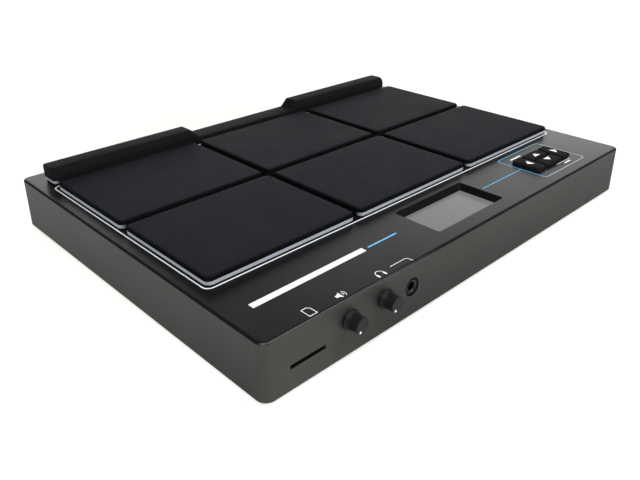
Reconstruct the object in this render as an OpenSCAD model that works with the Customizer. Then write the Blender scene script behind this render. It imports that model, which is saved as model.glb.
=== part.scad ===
// Electronic percussion pad: six lit rubber pads and a rear trigger strip on a moulded housing.
// Millimetres. X runs to the player's right, Y away from the player, Z up from the floor.
// The origin is the middle of the whole outline, on the floor.

/* [Housing] */
// Width of the housing across its top edge
case_w = 430; // [424:1:450]
// Depth of the housing across its top edge
case_d = 316; // [312:1:336]
// Height of the side walls
case_h = 41; // [39:0.5:48]
// How far each side leans out on its way down
case_draft = 1.3; // [0.4:0.1:2.4]
// Radius of the upright corners at the top edge
case_corner_r = 6; // [4:0.5:9]
// Round of the edge between top panel and sides
case_edge_r = 1.8; // [0.8:0.1:2.2]
// Thickness of the side walls
wall = 2.5; // [2:0.1:3.2]
// Thickness of the top panel
panel_t = 3; // [2.4:0.1:3.6]

/* [Pads] */
// Distance from the housing's side edge to the pads
pad_margin = 12.6; // [11:0.1:16]
// Depth of a front pad
pad_front_d = 99.3; // [94:0.1:100]
// Gap between neighbouring pads
pad_gap = 5.4; // [4:0.1:7]
// Distance from the housing's front edge to the front pads
pad_front_y = 67.3; // [66:0.1:70]
// Corner radius of a pad
pad_corner_r = 4.5; // [3:0.1:7]
// Shadow gap between the top panel and a light guide
guide_lift = 1; // [0.8:0.1:2]
// Thickness of a pad's light guide
guide_t = 2.6; // [2.4:0.1:3.6]
// Width of a light guide's frame
guide_rim = 14; // [13:0.5:18]
// Thickness of the rubber above the light guide
rubber_t = 3.2; // [2.6:0.1:4.5]
// Round of the rubber's top edge
rubber_edge_r = 2.2; // [0.5:0.1:2.5]
// Thickness of a sensor plate
sensor_t = 1.2; // [0.8:0.1:1.5]
// Diameter of a piezo disc
piezo_d = 27; // [15:1:35]

/* [Rear strip] */
// How far each end of the strip lies inside the pads' outer edge
strip_inset = 0.3; // [0:0.1:4]
// Distance from the housing's rear edge to the strip
strip_margin = 16.5; // [14:0.5:20]
// Depth of the strip
strip_d = 20.5; // [19:0.1:23]
// Gap between the back pads and the strip
strip_gap = 6.8; // [4:0.1:8]
// Shadow gap between the top panel and the strip's light guide
strip_lift = 2; // [1.4:0.1:3]
// Thickness of the strip's light guide
strip_guide_t = 2.1; // [2:0.1:3.4]
// Height of the raised bars above the top panel
bar_h = 14.2; // [12:0.1:18]
// Height of the low middle above the top panel
strip_low_h = 7; // [6.9:0.1:9]
// Length of the low middle between the slopes
strip_low_w = 117; // [104:1:124]
// Length of the slope at the inner end of a bar
bar_slope = 7.5; // [5:0.5:14]
// Round between the front and the top of a bar
bar_front_r = 6; // [3:0.1:7]
// Round of a bar's back top edge
bar_edge_r = 1.6; // [0.6:0.1:2.2]

/* [Display] */
// Width of the opening at the top panel
display_w = 82.3; // [78:0.1:88]
// Depth of the opening at the top panel
display_d = 41.8; // [39:0.1:44]
// Distance from the housing's front edge to the middle of the opening
display_y = 34.6; // [34:0.1:36]
// How far the window lies below the top panel
display_sink = 5; // [4.2:0.1:6]
// How far the opening's sides slope in on the way down
display_bevel = 3.6; // [1:0.1:4.5]
// Thickness of the window
window_t = 1.5; // [1:0.1:2]

/* [Keys] */
// Distance from the housing's right edge to the middle of the keys
keys_x = 80.4; // [76:0.1:84]
// Distance from the housing's front edge to the middle of the keys
keys_y = 34.2; // [33:0.1:36]
// Width of a side key
side_key_w = 12.8; // [11:0.1:14]
// Width of a middle key
mid_key_w = 25.6; // [24:0.1:28]
// Depth of the whole key group
keys_d = 27; // [25:0.1:29]
// Gap between neighbouring keys
key_gap = 1.7; // [1.5:0.1:2.2]
// Height of the keys above the top panel
key_h = 3; // [2:0.1:4]
// Key travel
key_travel = 0.8; // [0.4:0.1:1]

/* [Front controls] */
// Distance from the housing's left edge to the middle of the card slot
card_x = 33.1; // [32:0.1:35]
// Distance from the top panel down to the middle of the card slot
card_drop = 24.65; // [24:0.05:26]
// Width of the card slot
card_w = 28.4; // [27:0.1:29]
// Height of the card slot
card_h = 2.8; // [2.6:0.1:3.2]
// Distance from the housing's left edge to the first knob
knob_x = 66.4; // [65:0.1:68]
// Distance between the two knobs
knob_pitch = 32.1; // [31:0.1:34]
// Distance from the top panel down to the knob axes
knob_drop = 13.8; // [13:0.1:15]
// Diameter of a knob's skirt
knob_skirt_d = 14.1; // [13:0.1:16]
// Diameter of a knob's cap
knob_cap_d = 11.2; // [10:0.1:12]
// How far a knob reaches in front of the housing's top edge
knob_reach = 12.6; // [11:0.1:15]
// Diameter of a potentiometer shaft
shaft_d = 6; // [5:0.1:6.4]
// Distance from the housing's left edge to the headphone socket
phones_x = 127.6; // [127:0.1:130]
// Distance from the top panel down to the headphone socket's axis
phones_drop = 18.8; // [18:0.1:20]
// Diameter of the headphone socket's nose
phones_nose_d = 12.8; // [11.6:0.1:13.4]
// Bore of the jack sockets
jack_bore_d = 6.5; // [6.4:0.05:6.8]

/* [Rear connectors] */
// Width of the connector plate
rear_plate_w = 250; // [248:1:262]
// Height of the connector plate
rear_plate_h = 29; // [29:0.5:30]
// Thickness of the connector plate
rear_plate_t = 1.2; // [1:0.1:1.6]
// How far the plate's face lies inside the housing's top edge
rear_plate_sink = 2; // [2:0.1:3]
// Travel of the power button
power_travel = 2; // [1:0.1:2.4]

/* [Underside] */
// Height of the rubber feet
foot_h = 3.5; // [3.2:0.1:6]
// Diameter of the rubber feet
foot_d = 22; // [16:1:28]
// How far the bottom plate lies inside the walls' lower edge
plate_recess = 0.5; // [0.2:0.1:1]
// Thickness of the bottom plate
plate_t = 1.5; // [1.2:0.1:2]
// Distance between stand nuts across the width
stand_x = 100; // [75:1:120]
// Distance between stand nuts across the depth
stand_y = 75; // [60:1:100]
// Core bore of a stand nut
stand_bore_d = 4.2; // [3.3:0.1:5]

/* [Fits] */
// Clearance between a moving key and the top panel
key_clear = 0.35; // [0.3:0.05:0.5]
// Clearance round fixed pieces in their openings
seat_clear = 0.3; // [0.2:0.05:0.4]
// Radial clearance of a shaft in its bush
shaft_clear = 0.05; // [0.02:0.01:0.09]
// Radial clearance of a pushed-on or driven-in piece
push_clear = 0.03; // [0.02:0.01:0.05]

/* [Hidden] */
$fn = 48;
hull_fn = 32;
over = 1;

// Heights above the floor
case_z0 = foot_h - plate_recess;
panel_z = case_z0 + case_h;
under_z = panel_z - panel_t;
plate_z1 = foot_h + plate_t;
slope_top_z = panel_z - case_edge_r;
inner_corner_r = max(case_corner_r - wall, 1.5) + 1;

// The housing's outline lies between the knobs' fronts and the rear wall's lower edge
y_front = -knob_reach;
y_back = case_d + case_draft;
y_mid = (y_front + y_back) / 2;

// How far a wall has leaned out at height z
function draft_at(z) = case_draft * (slope_top_z - z) / (slope_top_z - case_z0);

// Pads, numbered from the back left to the front right, fill the width between their margins
// and the depth between the front controls and the rear strip
pad_w = (case_w - 2 * (pad_margin + pad_gap)) / 3;
pad_back_y = pad_front_y + pad_front_d + pad_gap;
pads_end_y = case_d - strip_margin - strip_d - strip_gap;
pad_back_d = pads_end_y - pad_back_y;
function pad_col(i) = i % 3 - 1;
function pad_is_back(i) = i < 3;
function pad_d(i) = pad_is_back(i) ? pad_back_d : pad_front_d;
function pad_x(i) = pad_col(i) * (pad_w + pad_gap);
function pad_y(i) = (pad_is_back(i) ? pad_back_y : pad_front_y) + pad_d(i) / 2;
guide_z0 = panel_z + guide_lift;
guide_z1 = guide_z0 + guide_t;
rubber_z1 = guide_z1 + rubber_t;
ledge_w = 3;
ledge_t = 0.9;
sensor_z0 = guide_z0 + ledge_t;
piezo_t = 0.5;
gasket_inset = 1;
gasket_w = 4;
pad_boss_d = 6.5;
pad_boss_in = 9;
pad_screw_d = 2.5;
pad_bore_l = panel_t + guide_lift + 1.2;
strip_bore_l = panel_t + strip_lift + 1.2;
led_board_w = 10;
led_board_t = 1.6;
led_size = [3.5, 2.8, 1.6];
led_slot = [6, 4.4];

// Rear strip
strip_w = case_w - 2 * (pad_margin + strip_inset);
strip_y0 = pads_end_y + strip_gap;
strip_y = strip_y0 + strip_d / 2;
strip_z0 = panel_z + strip_lift;
strip_z1 = strip_z0 + strip_guide_t;
strip_corner_r = 3.5;
bar_end_r = 0.8;
bar_crest_r = 2;
bar_foot_r = 3;
low_edge_r = 1.6;
bar_len = (strip_w - strip_low_w) / 2;
strip_sensor = [bar_len - 36, 12];
strip_sensor_x = strip_w / 2 - bar_len / 2;
strip_piezo_d = 10;
strip_boss_x = [-strip_w / 2 + 9, -strip_low_w / 2 + 5, 0, strip_low_w / 2 - 5, strip_w / 2 - 9];

// Display
window_w = display_w - 2 * display_bevel;
window_d = display_d - 2 * display_bevel;
display_r = 2;
collar_t = 4;
window_z1 = panel_z - display_sink;
window_z0 = window_z1 - window_t;
window_rim = 3.5;
lcd_t = 6;
lcd_z0 = window_z0 - lcd_t;
lcd_ear = 6;
lcd_boss_x = window_w / 2 + window_rim + lcd_ear;
lcd_boss_y = window_d / 2 - 2;

// Keys: left, right, up, down as [x offset, y offset, width, depth]
mid_key_d = (keys_d - key_gap) / 2;
side_key_off = (mid_key_w + side_key_w) / 2 + key_gap;
mid_key_off = (mid_key_d + key_gap) / 2;
KEYS = [[-side_key_off, 0, side_key_w, keys_d], [side_key_off, 0, side_key_w, keys_d],
        [0, mid_key_off, mid_key_w, mid_key_d], [0, -mid_key_off, mid_key_w, mid_key_d]];
keys_cx = case_w / 2 - keys_x;
key_corner_r = 3;
key_edge_r = 1.6;
key_flange = 0.5;
key_flange_t = 1;
key_flange_gap = 0.15;
key_stem_d = 4;
key_stem_l = 1.5;
key_low_z = under_z - key_flange_gap - key_flange_t - key_stem_l;
switch_h = 3.4;
switch_gap = 0.2;
key_board_t = 1.6;
key_board_z1 = key_low_z - key_travel - switch_gap - switch_h;
key_board_w = mid_key_w + 2 * (side_key_w + key_gap) + 14;
key_board_d = keys_d + 12;
key_boss_x = key_board_w / 2 - 3.5;
key_boss_y = key_board_d / 2 - 3.5;

// Boards lie level with the floor of the card slot
board_t = 1.6;
card_floor = 0.05;
board_z1 = panel_z - card_drop - card_h / 2 - card_floor;
board_z0 = board_z1 - board_t;
board_boss_d = 7;
cable_t = 0.8;

// Front controls
card_cx = card_x - case_w / 2;
phones_cx = phones_x - case_w / 2;
knob_cx = [knob_x - case_w / 2, knob_x + knob_pitch - case_w / 2];
knob_z = panel_z - knob_drop;
knob_gap = 1;
knob_bevel = 0.5;
knob_bore_l = 8;
pot_w = 16.5;
pot_d = 9;
pot_y0 = wall + 0.3;
bush_d = shaft_d + 1.2;
phones_z = panel_z - phones_drop;
jack_w = 15;
jack_l = 26;
jack_h = phones_z - board_z1 + jack_w / 2;
jack_bush_d = jack_bore_d + 2.8;
jack_bush_l = 9;
phones_y0 = -draft_at(phones_z) + 0.4;
jack_body_y = wall + 0.5;
card_socket = [card_w + 0.6, 27, 3.4];
card_socket_y = wall + 0.4;
card_cavity = [24.6, 24, 2.4];
front_board_y1 = 52;
front_boss_y = [front_board_y1 - board_boss_d - 1, wall + pot_d - 1];
front_board = [card_cx - card_socket[0] / 2 - 1, phones_cx + jack_w / 2 + 5, wall + 1.4, front_board_y1];
front_boss = [[card_cx - card_w / 3, front_boss_y[0]], [knob_cx[0] + knob_pitch / 2, front_boss_y[1]],
              [knob_cx[0] + knob_pitch / 2, front_boss_y[0]], [phones_cx, front_boss_y[0]]];

// Rear connectors, placed from the middle of the connector plate
rear_face_y = case_d - rear_plate_sink;
rear_in_y = rear_face_y - rear_plate_t;
rear_frame_t = 2.5;
rear_frame_w = 4;
rear_z0 = board_z0 - 4.8;
rear_open_w = rear_plate_w - 2 * rear_frame_w;
rear_jack_x = [for (share = [-0.416, -0.312, -0.184, -0.08]) share * rear_plate_w];
rear_jack_z = board_z1 + 7.3;
rear_nose_d = jack_bush_d + 0.6;
rear_nut_d = 12.6;
rear_nut_t = 2;
rear_nose_out = rear_plate_t + rear_nut_t + 0.4;
midi_x = [0.04 * rear_plate_w, 0.136 * rear_plate_w];
midi_d = 15;
midi_z = board_z1 + 10.2;
midi_body = [19, 13, 18.6];
usb_x = 0.232 * rear_plate_w;
usb_body = [12, 16, 11];
usb_hole = [8.6, 7.9];
usb_cut = 1.8;
power_x = 0.328 * rear_plate_w;
power_z = board_z1 + 5.6;
power_cap = 7;
power_out = 2.6;
switch_body = [9, 12, 9];
power_stem = 3.2;
power_stem_l = 6;
dc_x = 0.412 * rear_plate_w;
dc_body = [9.4, 13, 11];
dc_hole_d = 6.4;
dc_pin_d = 2;
dc_z = board_z1 + 6.5;
main_board_w = rear_open_w - 4;
main_board_d = 84;
main_board_y1 = rear_in_y - 0.6;
chip_y = main_board_y1 - main_board_d + 28;
main_chip = [28, 28, 1.6];
side_chip = [14, 22, 1.2];
side_chip_x = 37;
capacitor_d = 8;
capacitor_h = 11;
capacitor_x = [60, 74, 88];
main_boss = [[-main_board_w / 2 + 5, main_board_y1 - main_board_d + 16],
             [main_board_w / 2 - 5, main_board_y1 - main_board_d + 16],
             [-main_board_w / 2 + 5, main_board_y1 - 36], [main_board_w / 2 - 5, main_board_y1 - 36]];
rear_screw = [[-1, -1], [1, -1], [-1, 1], [1, 1]];
rear_head_d = 3.6;

// Underside
case_boss_d = 8;
case_boss_in = 11;
case_screw_d = 2.6;
case_screw_l = 12;
screw_head_d = 5.6;
screw_head_t = 1.9;
screw_tip_gap = 1;
recess_w = 0.7;
recess_deep = 0.9;
case_boss = concat(
    [for (sx = [-1, 1]) for (y = [case_boss_in, pad_back_y - pad_gap / 2, case_d - case_boss_in])
        [sx * (case_w / 2 - case_boss_in), y]],
    [for (sx = [-1, 1]) [sx * (pad_w + pad_gap) / 2, pad_back_y - pad_gap / 2]]);
board_screw_d = 2.5;
board_screw_l = 7;
bottom_in = wall + seat_clear - draft_at(plate_z1);
bottom_r = inner_corner_r + draft_at(plate_z1) - seat_clear;
foot_in = [36, 34];
foot_edge = 1.2;
foot_dish = [5, 1.2];
stand_nut_d = 9;
stand_nut_h = 6;
stand_shank_d = 7;
stand_cy = case_d / 2;

// Flat rounded rectangle about the middle
module rounded(w, d, r) {
    square([w - 2 * r, d], center = true);
    square([w, d - 2 * r], center = true);
    for (sx = [-1, 1])
        for (sy = [-1, 1])
            translate([sx * (w / 2 - r), sy * (d / 2 - r)])
                circle(r);
}

// Flat rounded frame
module rounded_ring(w, d, r, rim) {
    difference() {
        rounded(w, d, r);
        rounded(w - 2 * rim, d - 2 * rim, max(r - rim, 1));
    }
}

// Block with upright rounded corners, leaning sides and a rounded top edge
module drafted_block(w, d, r, z0, z1, draft, edge_r) {
    steps = 6;
    arc = [for (k = [0:steps]) let (a = 90 * k / steps)
        [r - edge_r + edge_r * cos(a), z1 - edge_r + edge_r * sin(a)]];
    hull()
        for (sx = [-1, 1])
            for (sy = [-1, 1])
                translate([sx * (w / 2 - r), sy * (d / 2 - r), 0])
                    rotate_extrude($fn = hull_fn)
                        polygon(concat([[0, z0], [r + draft, z0]], arc, [[0, z1]]));
}

// Cylinder lying along Y between two places
module along_y(x, z, d, y0, y1) {
    translate([x, y0, z])
        rotate([-90, 0, 0])
            cylinder(h = y1 - y0, d = d);
}

// Pan-head screw driven upwards, its head's upper face at z
module screw_up(x, y, z, d, l) {
    translate([x, y, z]) {
        translate([0, 0, -screw_head_t])
            cylinder(h = screw_head_t, d = screw_head_d);
        cylinder(h = l, d = d);
    }
}

// Driver's cross cut upwards into a screw head whose lower face is at the origin
module cross_cut(l) {
    for (turn = [0, 90])
        rotate([0, 0, turn])
            translate([-l / 2, -recess_w / 2, -over])
                cube([l, recess_w, over + recess_deep]);
}

// Box between two corners
module block(x0, x1, y0, y1, z0, z1) {
    translate([x0, y0, z0])
        cube([x1 - x0, y1 - y0, z1 - z0]);
}

// Moves a piece from the housing's front edge to the part's own origin
module placed() {
    translate([0, -y_mid, 0])
        children();
}

// Places of the four bosses of one pad
module at_pad_bosses(i) {
    for (sx = [-1, 1])
        for (sy = [-1, 1])
            translate([pad_x(i) + sx * (pad_w / 2 - pad_boss_in),
                       pad_y(i) + sy * (pad_d(i) / 2 - pad_boss_in), 0])
                children();
}

// Places of the light sources of one pad
module at_pad_leds(i) {
    for (sx = [-1, 0, 1])
        for (sy = [-1, 1])
            translate([pad_x(i) + sx * pad_w / 4, pad_y(i) + sy * (pad_d(i) / 2 - pad_boss_in), 0])
                children();
}

// Places of the light sources of the rear strip
module at_strip_leds() {
    for (sx = [-1, 1])
        for (k = [-1, 1])
            translate([sx * strip_sensor_x + k * strip_sensor[0] / 4, strip_y, 0])
                children();
}

// Moulded housing: top panel, drafted walls, sunk display opening, screw bosses
module top_case() {
    color([0.2, 0.2, 0.2])
    difference() {
        union() {
            difference() {
                translate([0, case_d / 2, 0])
                    drafted_block(case_w, case_d, case_corner_r, case_z0, panel_z, case_draft, case_edge_r);
                translate([0, case_d / 2, 0])
                    drafted_block(case_w - 2 * wall, case_d - 2 * wall, inner_corner_r,
                                  case_z0 - over, under_z, case_draft, 0.6);
            }
            case_bosses();
            translate([0, display_y, window_z1])
                linear_extrude(under_z - window_z1 + over)
                    rounded(window_w + 2 * collar_t + 2 * display_bevel,
                            window_d + 2 * collar_t, display_r);
            block(-rear_plate_w / 2 - rear_frame_w, rear_plate_w / 2 + rear_frame_w,
                  rear_in_y - rear_frame_t, case_d - wall / 2,
                  rear_z0 - rear_frame_w, under_z + over);
        }
        display_funnel();
        panel_holes();
        front_holes();
        rear_holes();
        boss_bores();
    }
}

// Bosses that hang from the top panel
module case_bosses() {
    for (p = case_boss)
        translate([p[0], p[1], plate_z1])
            cylinder(h = under_z + over - plate_z1, d = case_boss_d);
    for (p = concat(front_boss, main_boss))
        translate([p[0], p[1], board_z1])
            cylinder(h = under_z + over - board_z1, d = board_boss_d);
    for (sx = [-1, 1])
        for (sy = [-1, 1]) {
            translate([keys_cx + sx * key_boss_x, keys_y + sy * key_boss_y, key_board_z1])
                cylinder(h = under_z + over - key_board_z1, d = board_boss_d - 1);
            translate([sx * lcd_boss_x, display_y + sy * lcd_boss_y, lcd_z0])
                cylinder(h = under_z + over - lcd_z0, d = board_boss_d - 1);
        }
}

// Screw bores in the hanging bosses
module boss_bores() {
    for (p = case_boss)
        translate([p[0], p[1], plate_z1 - over])
            cylinder(h = case_screw_l + over, d = case_screw_d + 2 * push_clear);
    for (p = concat(front_boss, main_boss))
        translate([p[0], p[1], board_z1 - over])
            cylinder(h = board_screw_l + over, d = board_screw_d + 2 * push_clear);
    for (sx = [-1, 1])
        for (sy = [-1, 1]) {
            translate([keys_cx + sx * key_boss_x, keys_y + sy * key_boss_y, key_board_z1 - over])
                cylinder(h = board_screw_l + over, d = board_screw_d + 2 * push_clear);
            translate([sx * lcd_boss_x, display_y + sy * lcd_boss_y, lcd_z0 - over])
                cylinder(h = board_screw_l + over, d = board_screw_d + 2 * push_clear);
        }
}

// Sloping sides of the display opening
module display_funnel() {
    grow = display_bevel / display_sink;
    hull() {
        translate([0, display_y, panel_z])
            linear_extrude(over)
                rounded(display_w, display_d, display_r, $fn = hull_fn);
        translate([0, display_y, window_z1 - over])
            linear_extrude(over)
                rounded(window_w - 2 * grow, window_d - 2 * grow, display_r / 2, $fn = hull_fn);
    }
}

// Openings in the top panel
module panel_holes() {
    drop = under_z - over;
    tall = panel_t + 2 * over;
    for (k = KEYS)
        translate([keys_cx + k[0], keys_y + k[1], drop])
            linear_extrude(tall)
                rounded(k[2] + 2 * key_clear, k[3] + 2 * key_clear, key_corner_r + key_clear);
    for (i = [0:5]) {
        at_pad_bosses(i)
            translate([0, 0, drop])
                cylinder(h = tall, d = pad_boss_d + 2 * seat_clear);
        at_pad_leds(i)
            translate([-led_slot[0] / 2, -led_slot[1] / 2, drop])
                cube([led_slot[0], led_slot[1], tall]);
        translate([pad_x(i), pad_y(i), drop])
            cylinder(h = tall, d = 10);
    }
    for (x = strip_boss_x)
        translate([x, strip_y, drop])
            cylinder(h = tall, d = pad_boss_d + 2 * seat_clear);
    at_strip_leds()
        translate([-led_slot[0] / 2, -led_slot[1] / 2, drop])
            cube([led_slot[0], led_slot[1], tall]);
    for (sx = [-1, 1])
        translate([sx * strip_sensor_x, strip_y, drop])
            cylinder(h = tall, d = 6);
}

// Openings in the front wall
module front_holes() {
    y0 = -case_draft - over;
    y1 = wall + over;
    block(card_cx - card_w / 2, card_cx + card_w / 2, y0, y1,
          panel_z - card_drop - card_h / 2, panel_z - card_drop + card_h / 2);
    for (x = knob_cx)
        along_y(x, knob_z, bush_d + 2 * seat_clear, y0, y1);
    along_y(phones_cx, phones_z, phones_nose_d + 3 * seat_clear, y0, y1);
}

// Seat and window for the connector plate in the rear wall
module rear_holes() {
    block(-rear_plate_w / 2 - seat_clear, rear_plate_w / 2 + seat_clear,
          rear_in_y, case_d + case_draft + over,
          rear_z0 - seat_clear, rear_z0 + rear_plate_h + seat_clear);
    block(-rear_open_w / 2, rear_open_w / 2, rear_in_y - rear_frame_t - over, rear_in_y + over,
          rear_z0 + rear_frame_w, rear_z0 + rear_plate_h - rear_frame_w);
    for (s = rear_screw)
        along_y(s[0] * (rear_plate_w - rear_frame_w) / 2,
                rear_z0 + rear_plate_h / 2 + s[1] * (rear_plate_h - rear_frame_w) / 2,
                2 + 2 * push_clear, rear_in_y - rear_frame_t - over, rear_in_y + over);
}

// Steel plate that closes the underside
module bottom_plate() {
    w = case_w - 2 * bottom_in;
    d = case_d - 2 * bottom_in;
    color([0.16, 0.16, 0.17])
    difference() {
        translate([0, case_d / 2, foot_h])
            linear_extrude(plate_t)
                rounded(w, d, bottom_r);
        for (p = case_boss)
            translate([p[0], p[1], foot_h - over])
                cylinder(h = plate_t + 2 * over, d = case_screw_d + 0.8);
        at_stand_nuts()
            translate([0, 0, foot_h - over])
                cylinder(h = plate_t + 2 * over, d = stand_shank_d + 2 * push_clear);
    }
}

// Four rubber feet with a bevelled lower edge and a moulded dish
module feet() {
    color([0.08, 0.08, 0.08])
    for (sx = [-1, 1])
        for (y = [foot_in[1], case_d - foot_in[1]])
            translate([sx * (case_w / 2 - foot_in[0]), y, 0])
                rotate_extrude()
                    polygon([[0, foot_dish[1]], [foot_dish[0] - 1, foot_dish[1]], [foot_dish[0], 0],
                             [foot_d / 2 - foot_edge, 0], [foot_d / 2, foot_edge],
                             [foot_d / 2, foot_h], [0, foot_h]]);
}

// Screws that hold the bottom plate to the housing
module case_screws() {
    color([0.55, 0.55, 0.56])
    for (p = case_boss)
        difference() {
            screw_up(p[0], p[1], foot_h, case_screw_d, case_screw_l + plate_t - screw_tip_gap);
            translate([p[0], p[1], foot_h - screw_head_t])
                cross_cut(0.6 * screw_head_d);
        }
}

// Places of the four stand nuts
module at_stand_nuts() {
    for (sx = [-1, 1])
        for (sy = [-1, 1])
            translate([sx * stand_x / 2, stand_cy + sy * stand_y / 2, 0])
                children();
}

// Clinch nuts in the bottom plate for a stand
module stand_nuts() {
    color([0.75, 0.7, 0.5])
    at_stand_nuts()
        translate([0, 0, foot_h])
            difference() {
                union() {
                    cylinder(h = plate_t, d = stand_shank_d);
                    translate([0, 0, plate_t])
                        cylinder(h = stand_nut_h, d = stand_nut_d);
                }
                translate([0, 0, -over])
                    cylinder(h = plate_t + stand_nut_h + 2 * over, d = stand_bore_d);
            }
}

// Rubber playing surface: rounded slab with a tongue that drops into the light guide
module pad(i) {
    tongue_w = pad_w - 2 * guide_rim - 2 * seat_clear;
    tongue_d = pad_d(i) - 2 * guide_rim - 2 * seat_clear;
    color([0.13, 0.13, 0.14])
    translate([pad_x(i), pad_y(i), 0]) {
        drafted_block(pad_w, pad_d(i), pad_corner_r, guide_z1, rubber_z1, 0, rubber_edge_r);
        translate([0, 0, sensor_z0 + sensor_t])
            linear_extrude(guide_z1 - sensor_z0 - sensor_t + 0.5)
                rounded(tongue_w, tongue_d, 2);
    }
}

// Translucent frame that carries a pad and spreads the light to its edge
module light_guide(i) {
    color([0.6, 0.62, 0.66])
    difference() {
        union() {
            translate([pad_x(i), pad_y(i), guide_z0]) {
                linear_extrude(guide_t)
                    rounded_ring(pad_w, pad_d(i), pad_corner_r, guide_rim);
                linear_extrude(ledge_t)
                    rounded_ring(pad_w - 2 * guide_rim + 2, pad_d(i) - 2 * guide_rim + 2, 2, ledge_w + 1);
            }
            at_pad_bosses(i)
                translate([0, 0, under_z])
                    cylinder(h = guide_z0 - under_z + 1, d = pad_boss_d);
        }
        at_pad_bosses(i)
            translate([0, 0, under_z - over])
                cylinder(h = pad_bore_l + over, d = pad_screw_d + 2 * push_clear);
    }
}

// Side view of the right-hand bar in X and Z: rounded outer end, slope with rounded crest and foot
module bar_outline() {
    h = panel_z + bar_h;
    low = panel_z + strip_low_h;
    x0 = strip_w / 2;
    x1 = strip_low_w / 2;
    steps = 5;
    turn = atan((h - low) / bar_slope);
    foot_x = x1 - bar_foot_r * tan(turn / 2);
    crest_x = x1 + bar_slope + bar_crest_r * tan(turn / 2);
    foot = [for (k = [0:steps]) let (a = turn * k / steps)
        [foot_x + bar_foot_r * sin(a), low + bar_foot_r * (1 - cos(a))]];
    crest = [for (k = [0:steps]) let (a = turn * (1 - k / steps))
        [crest_x - bar_crest_r * sin(a), h - bar_crest_r * (1 - cos(a))]];
    end = [for (k = [0:steps]) let (a = 90 * k / steps)
        [x0 - bar_end_r * (1 - sin(a)), h - bar_end_r * (1 - cos(a))]];
    polygon(concat([[foot_x, strip_z0]], foot, crest, end, [[x0, strip_z0]]));
}

// Cross-section of the strip in Y and Z: upright front, flat top, one round at each top edge
module strip_section(h, front_r, back_r) {
    y1 = strip_y0 + strip_d;
    translate([strip_y0, strip_z0])
        square([strip_d, h - front_r - strip_z0]);
    translate([strip_y0 + front_r, strip_z0])
        square([strip_d - front_r, h - back_r - strip_z0]);
    translate([strip_y0 + front_r, strip_z0])
        square([strip_d - front_r - back_r, h - strip_z0]);
    translate([strip_y0 + front_r, h - front_r])
        circle(front_r);
    translate([y1 - back_r, h - back_r])
        circle(back_r);
}

// Length of strip between two places across the width, with the section of the given height
module strip_run(x0, x1, h, front_r, back_r) {
    translate([x0, 0, 0])
        rotate([90, 0, 90])
            linear_extrude(x1 - x0)
                strip_section(h, front_r, back_r);
}

// Rubber strip with two raised trigger bars and a low middle
module rear_strip() {
    half = strip_w / 2 + over;
    color([0.1, 0.1, 0.1])
    intersection() {
        union() {
            strip_run(-half, half, panel_z + strip_low_h, low_edge_r, low_edge_r);
            for (turn = [0, 1])
                mirror([turn, 0, 0])
                    intersection() {
                        translate([0, strip_y0 + strip_d + over, 0])
                            rotate([90, 0, 0])
                                linear_extrude(strip_d + 2 * over)
                                    bar_outline();
                        strip_run(0, half, panel_z + bar_h, bar_front_r, bar_edge_r);
                    }
        }
        translate([0, strip_y, strip_z1])
            linear_extrude(bar_h)
                rounded(strip_w, strip_d, strip_corner_r);
    }
}

// Translucent bar under the rear strip, pocketed for the bar sensors
module rear_light_guide() {
    color([0.6, 0.62, 0.66])
    difference() {
        union() {
            translate([0, strip_y, strip_z0])
                linear_extrude(strip_guide_t)
                    rounded(strip_w, strip_d, strip_corner_r);
            for (x = strip_boss_x)
                translate([x, strip_y, under_z])
                    cylinder(h = strip_z0 - under_z + 1, d = pad_boss_d);
        }
        for (x = strip_boss_x)
            translate([x, strip_y, under_z - over])
                cylinder(h = strip_bore_l + over, d = pad_screw_d + 2 * push_clear);
        for (sx = [-1, 1]) {
            translate([sx * strip_sensor_x, strip_y, strip_z1 - sensor_t])
                linear_extrude(sensor_t + over)
                    rounded(strip_sensor[0] + 2 * seat_clear, strip_sensor[1] + 2 * seat_clear, 1);
            translate([sx * strip_sensor_x, strip_y, strip_z0 - over])
                cylinder(h = strip_guide_t + 2 * over, d = strip_piezo_d + 4 * seat_clear);
        }
    }
}

// Foam frames between the top panel and the light guides
module gaskets() {
    inset = 2 * gasket_inset;
    color([0.06, 0.06, 0.06]) {
        for (i = [0:5])
            translate([pad_x(i), pad_y(i), panel_z])
                linear_extrude(guide_lift)
                    rounded_ring(pad_w - inset, pad_d(i) - inset, pad_corner_r - gasket_inset, gasket_w);
        translate([0, strip_y, panel_z])
            linear_extrude(strip_lift)
                rounded_ring(strip_w - inset, strip_d - inset, strip_corner_r - gasket_inset, gasket_w);
    }
}

// Steel plates that take the strokes, one in each light guide and one under each bar
module sensor_plates() {
    color([0.7, 0.71, 0.72]) {
        for (i = [0:5])
            translate([pad_x(i), pad_y(i), sensor_z0])
                linear_extrude(sensor_t)
                    rounded(pad_w - 2 * guide_rim - 2 * seat_clear,
                            pad_d(i) - 2 * guide_rim - 2 * seat_clear, 2);
        for (sx = [-1, 1])
            translate([sx * strip_sensor_x, strip_y, strip_z1 - sensor_t])
                linear_extrude(sensor_t)
                    rounded(strip_sensor[0], strip_sensor[1], 1);
    }
}

// Piezo discs glued under the sensor plates
module piezo_discs() {
    color([0.8, 0.65, 0.3]) {
        for (i = [0:5])
            translate([pad_x(i), pad_y(i), sensor_z0 - piezo_t])
                cylinder(h = piezo_t, d = piezo_d);
        for (sx = [-1, 1])
            translate([sx * strip_sensor_x, strip_y, strip_z1 - sensor_t - piezo_t])
                cylinder(h = piezo_t, d = strip_piezo_d);
    }
}

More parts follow.
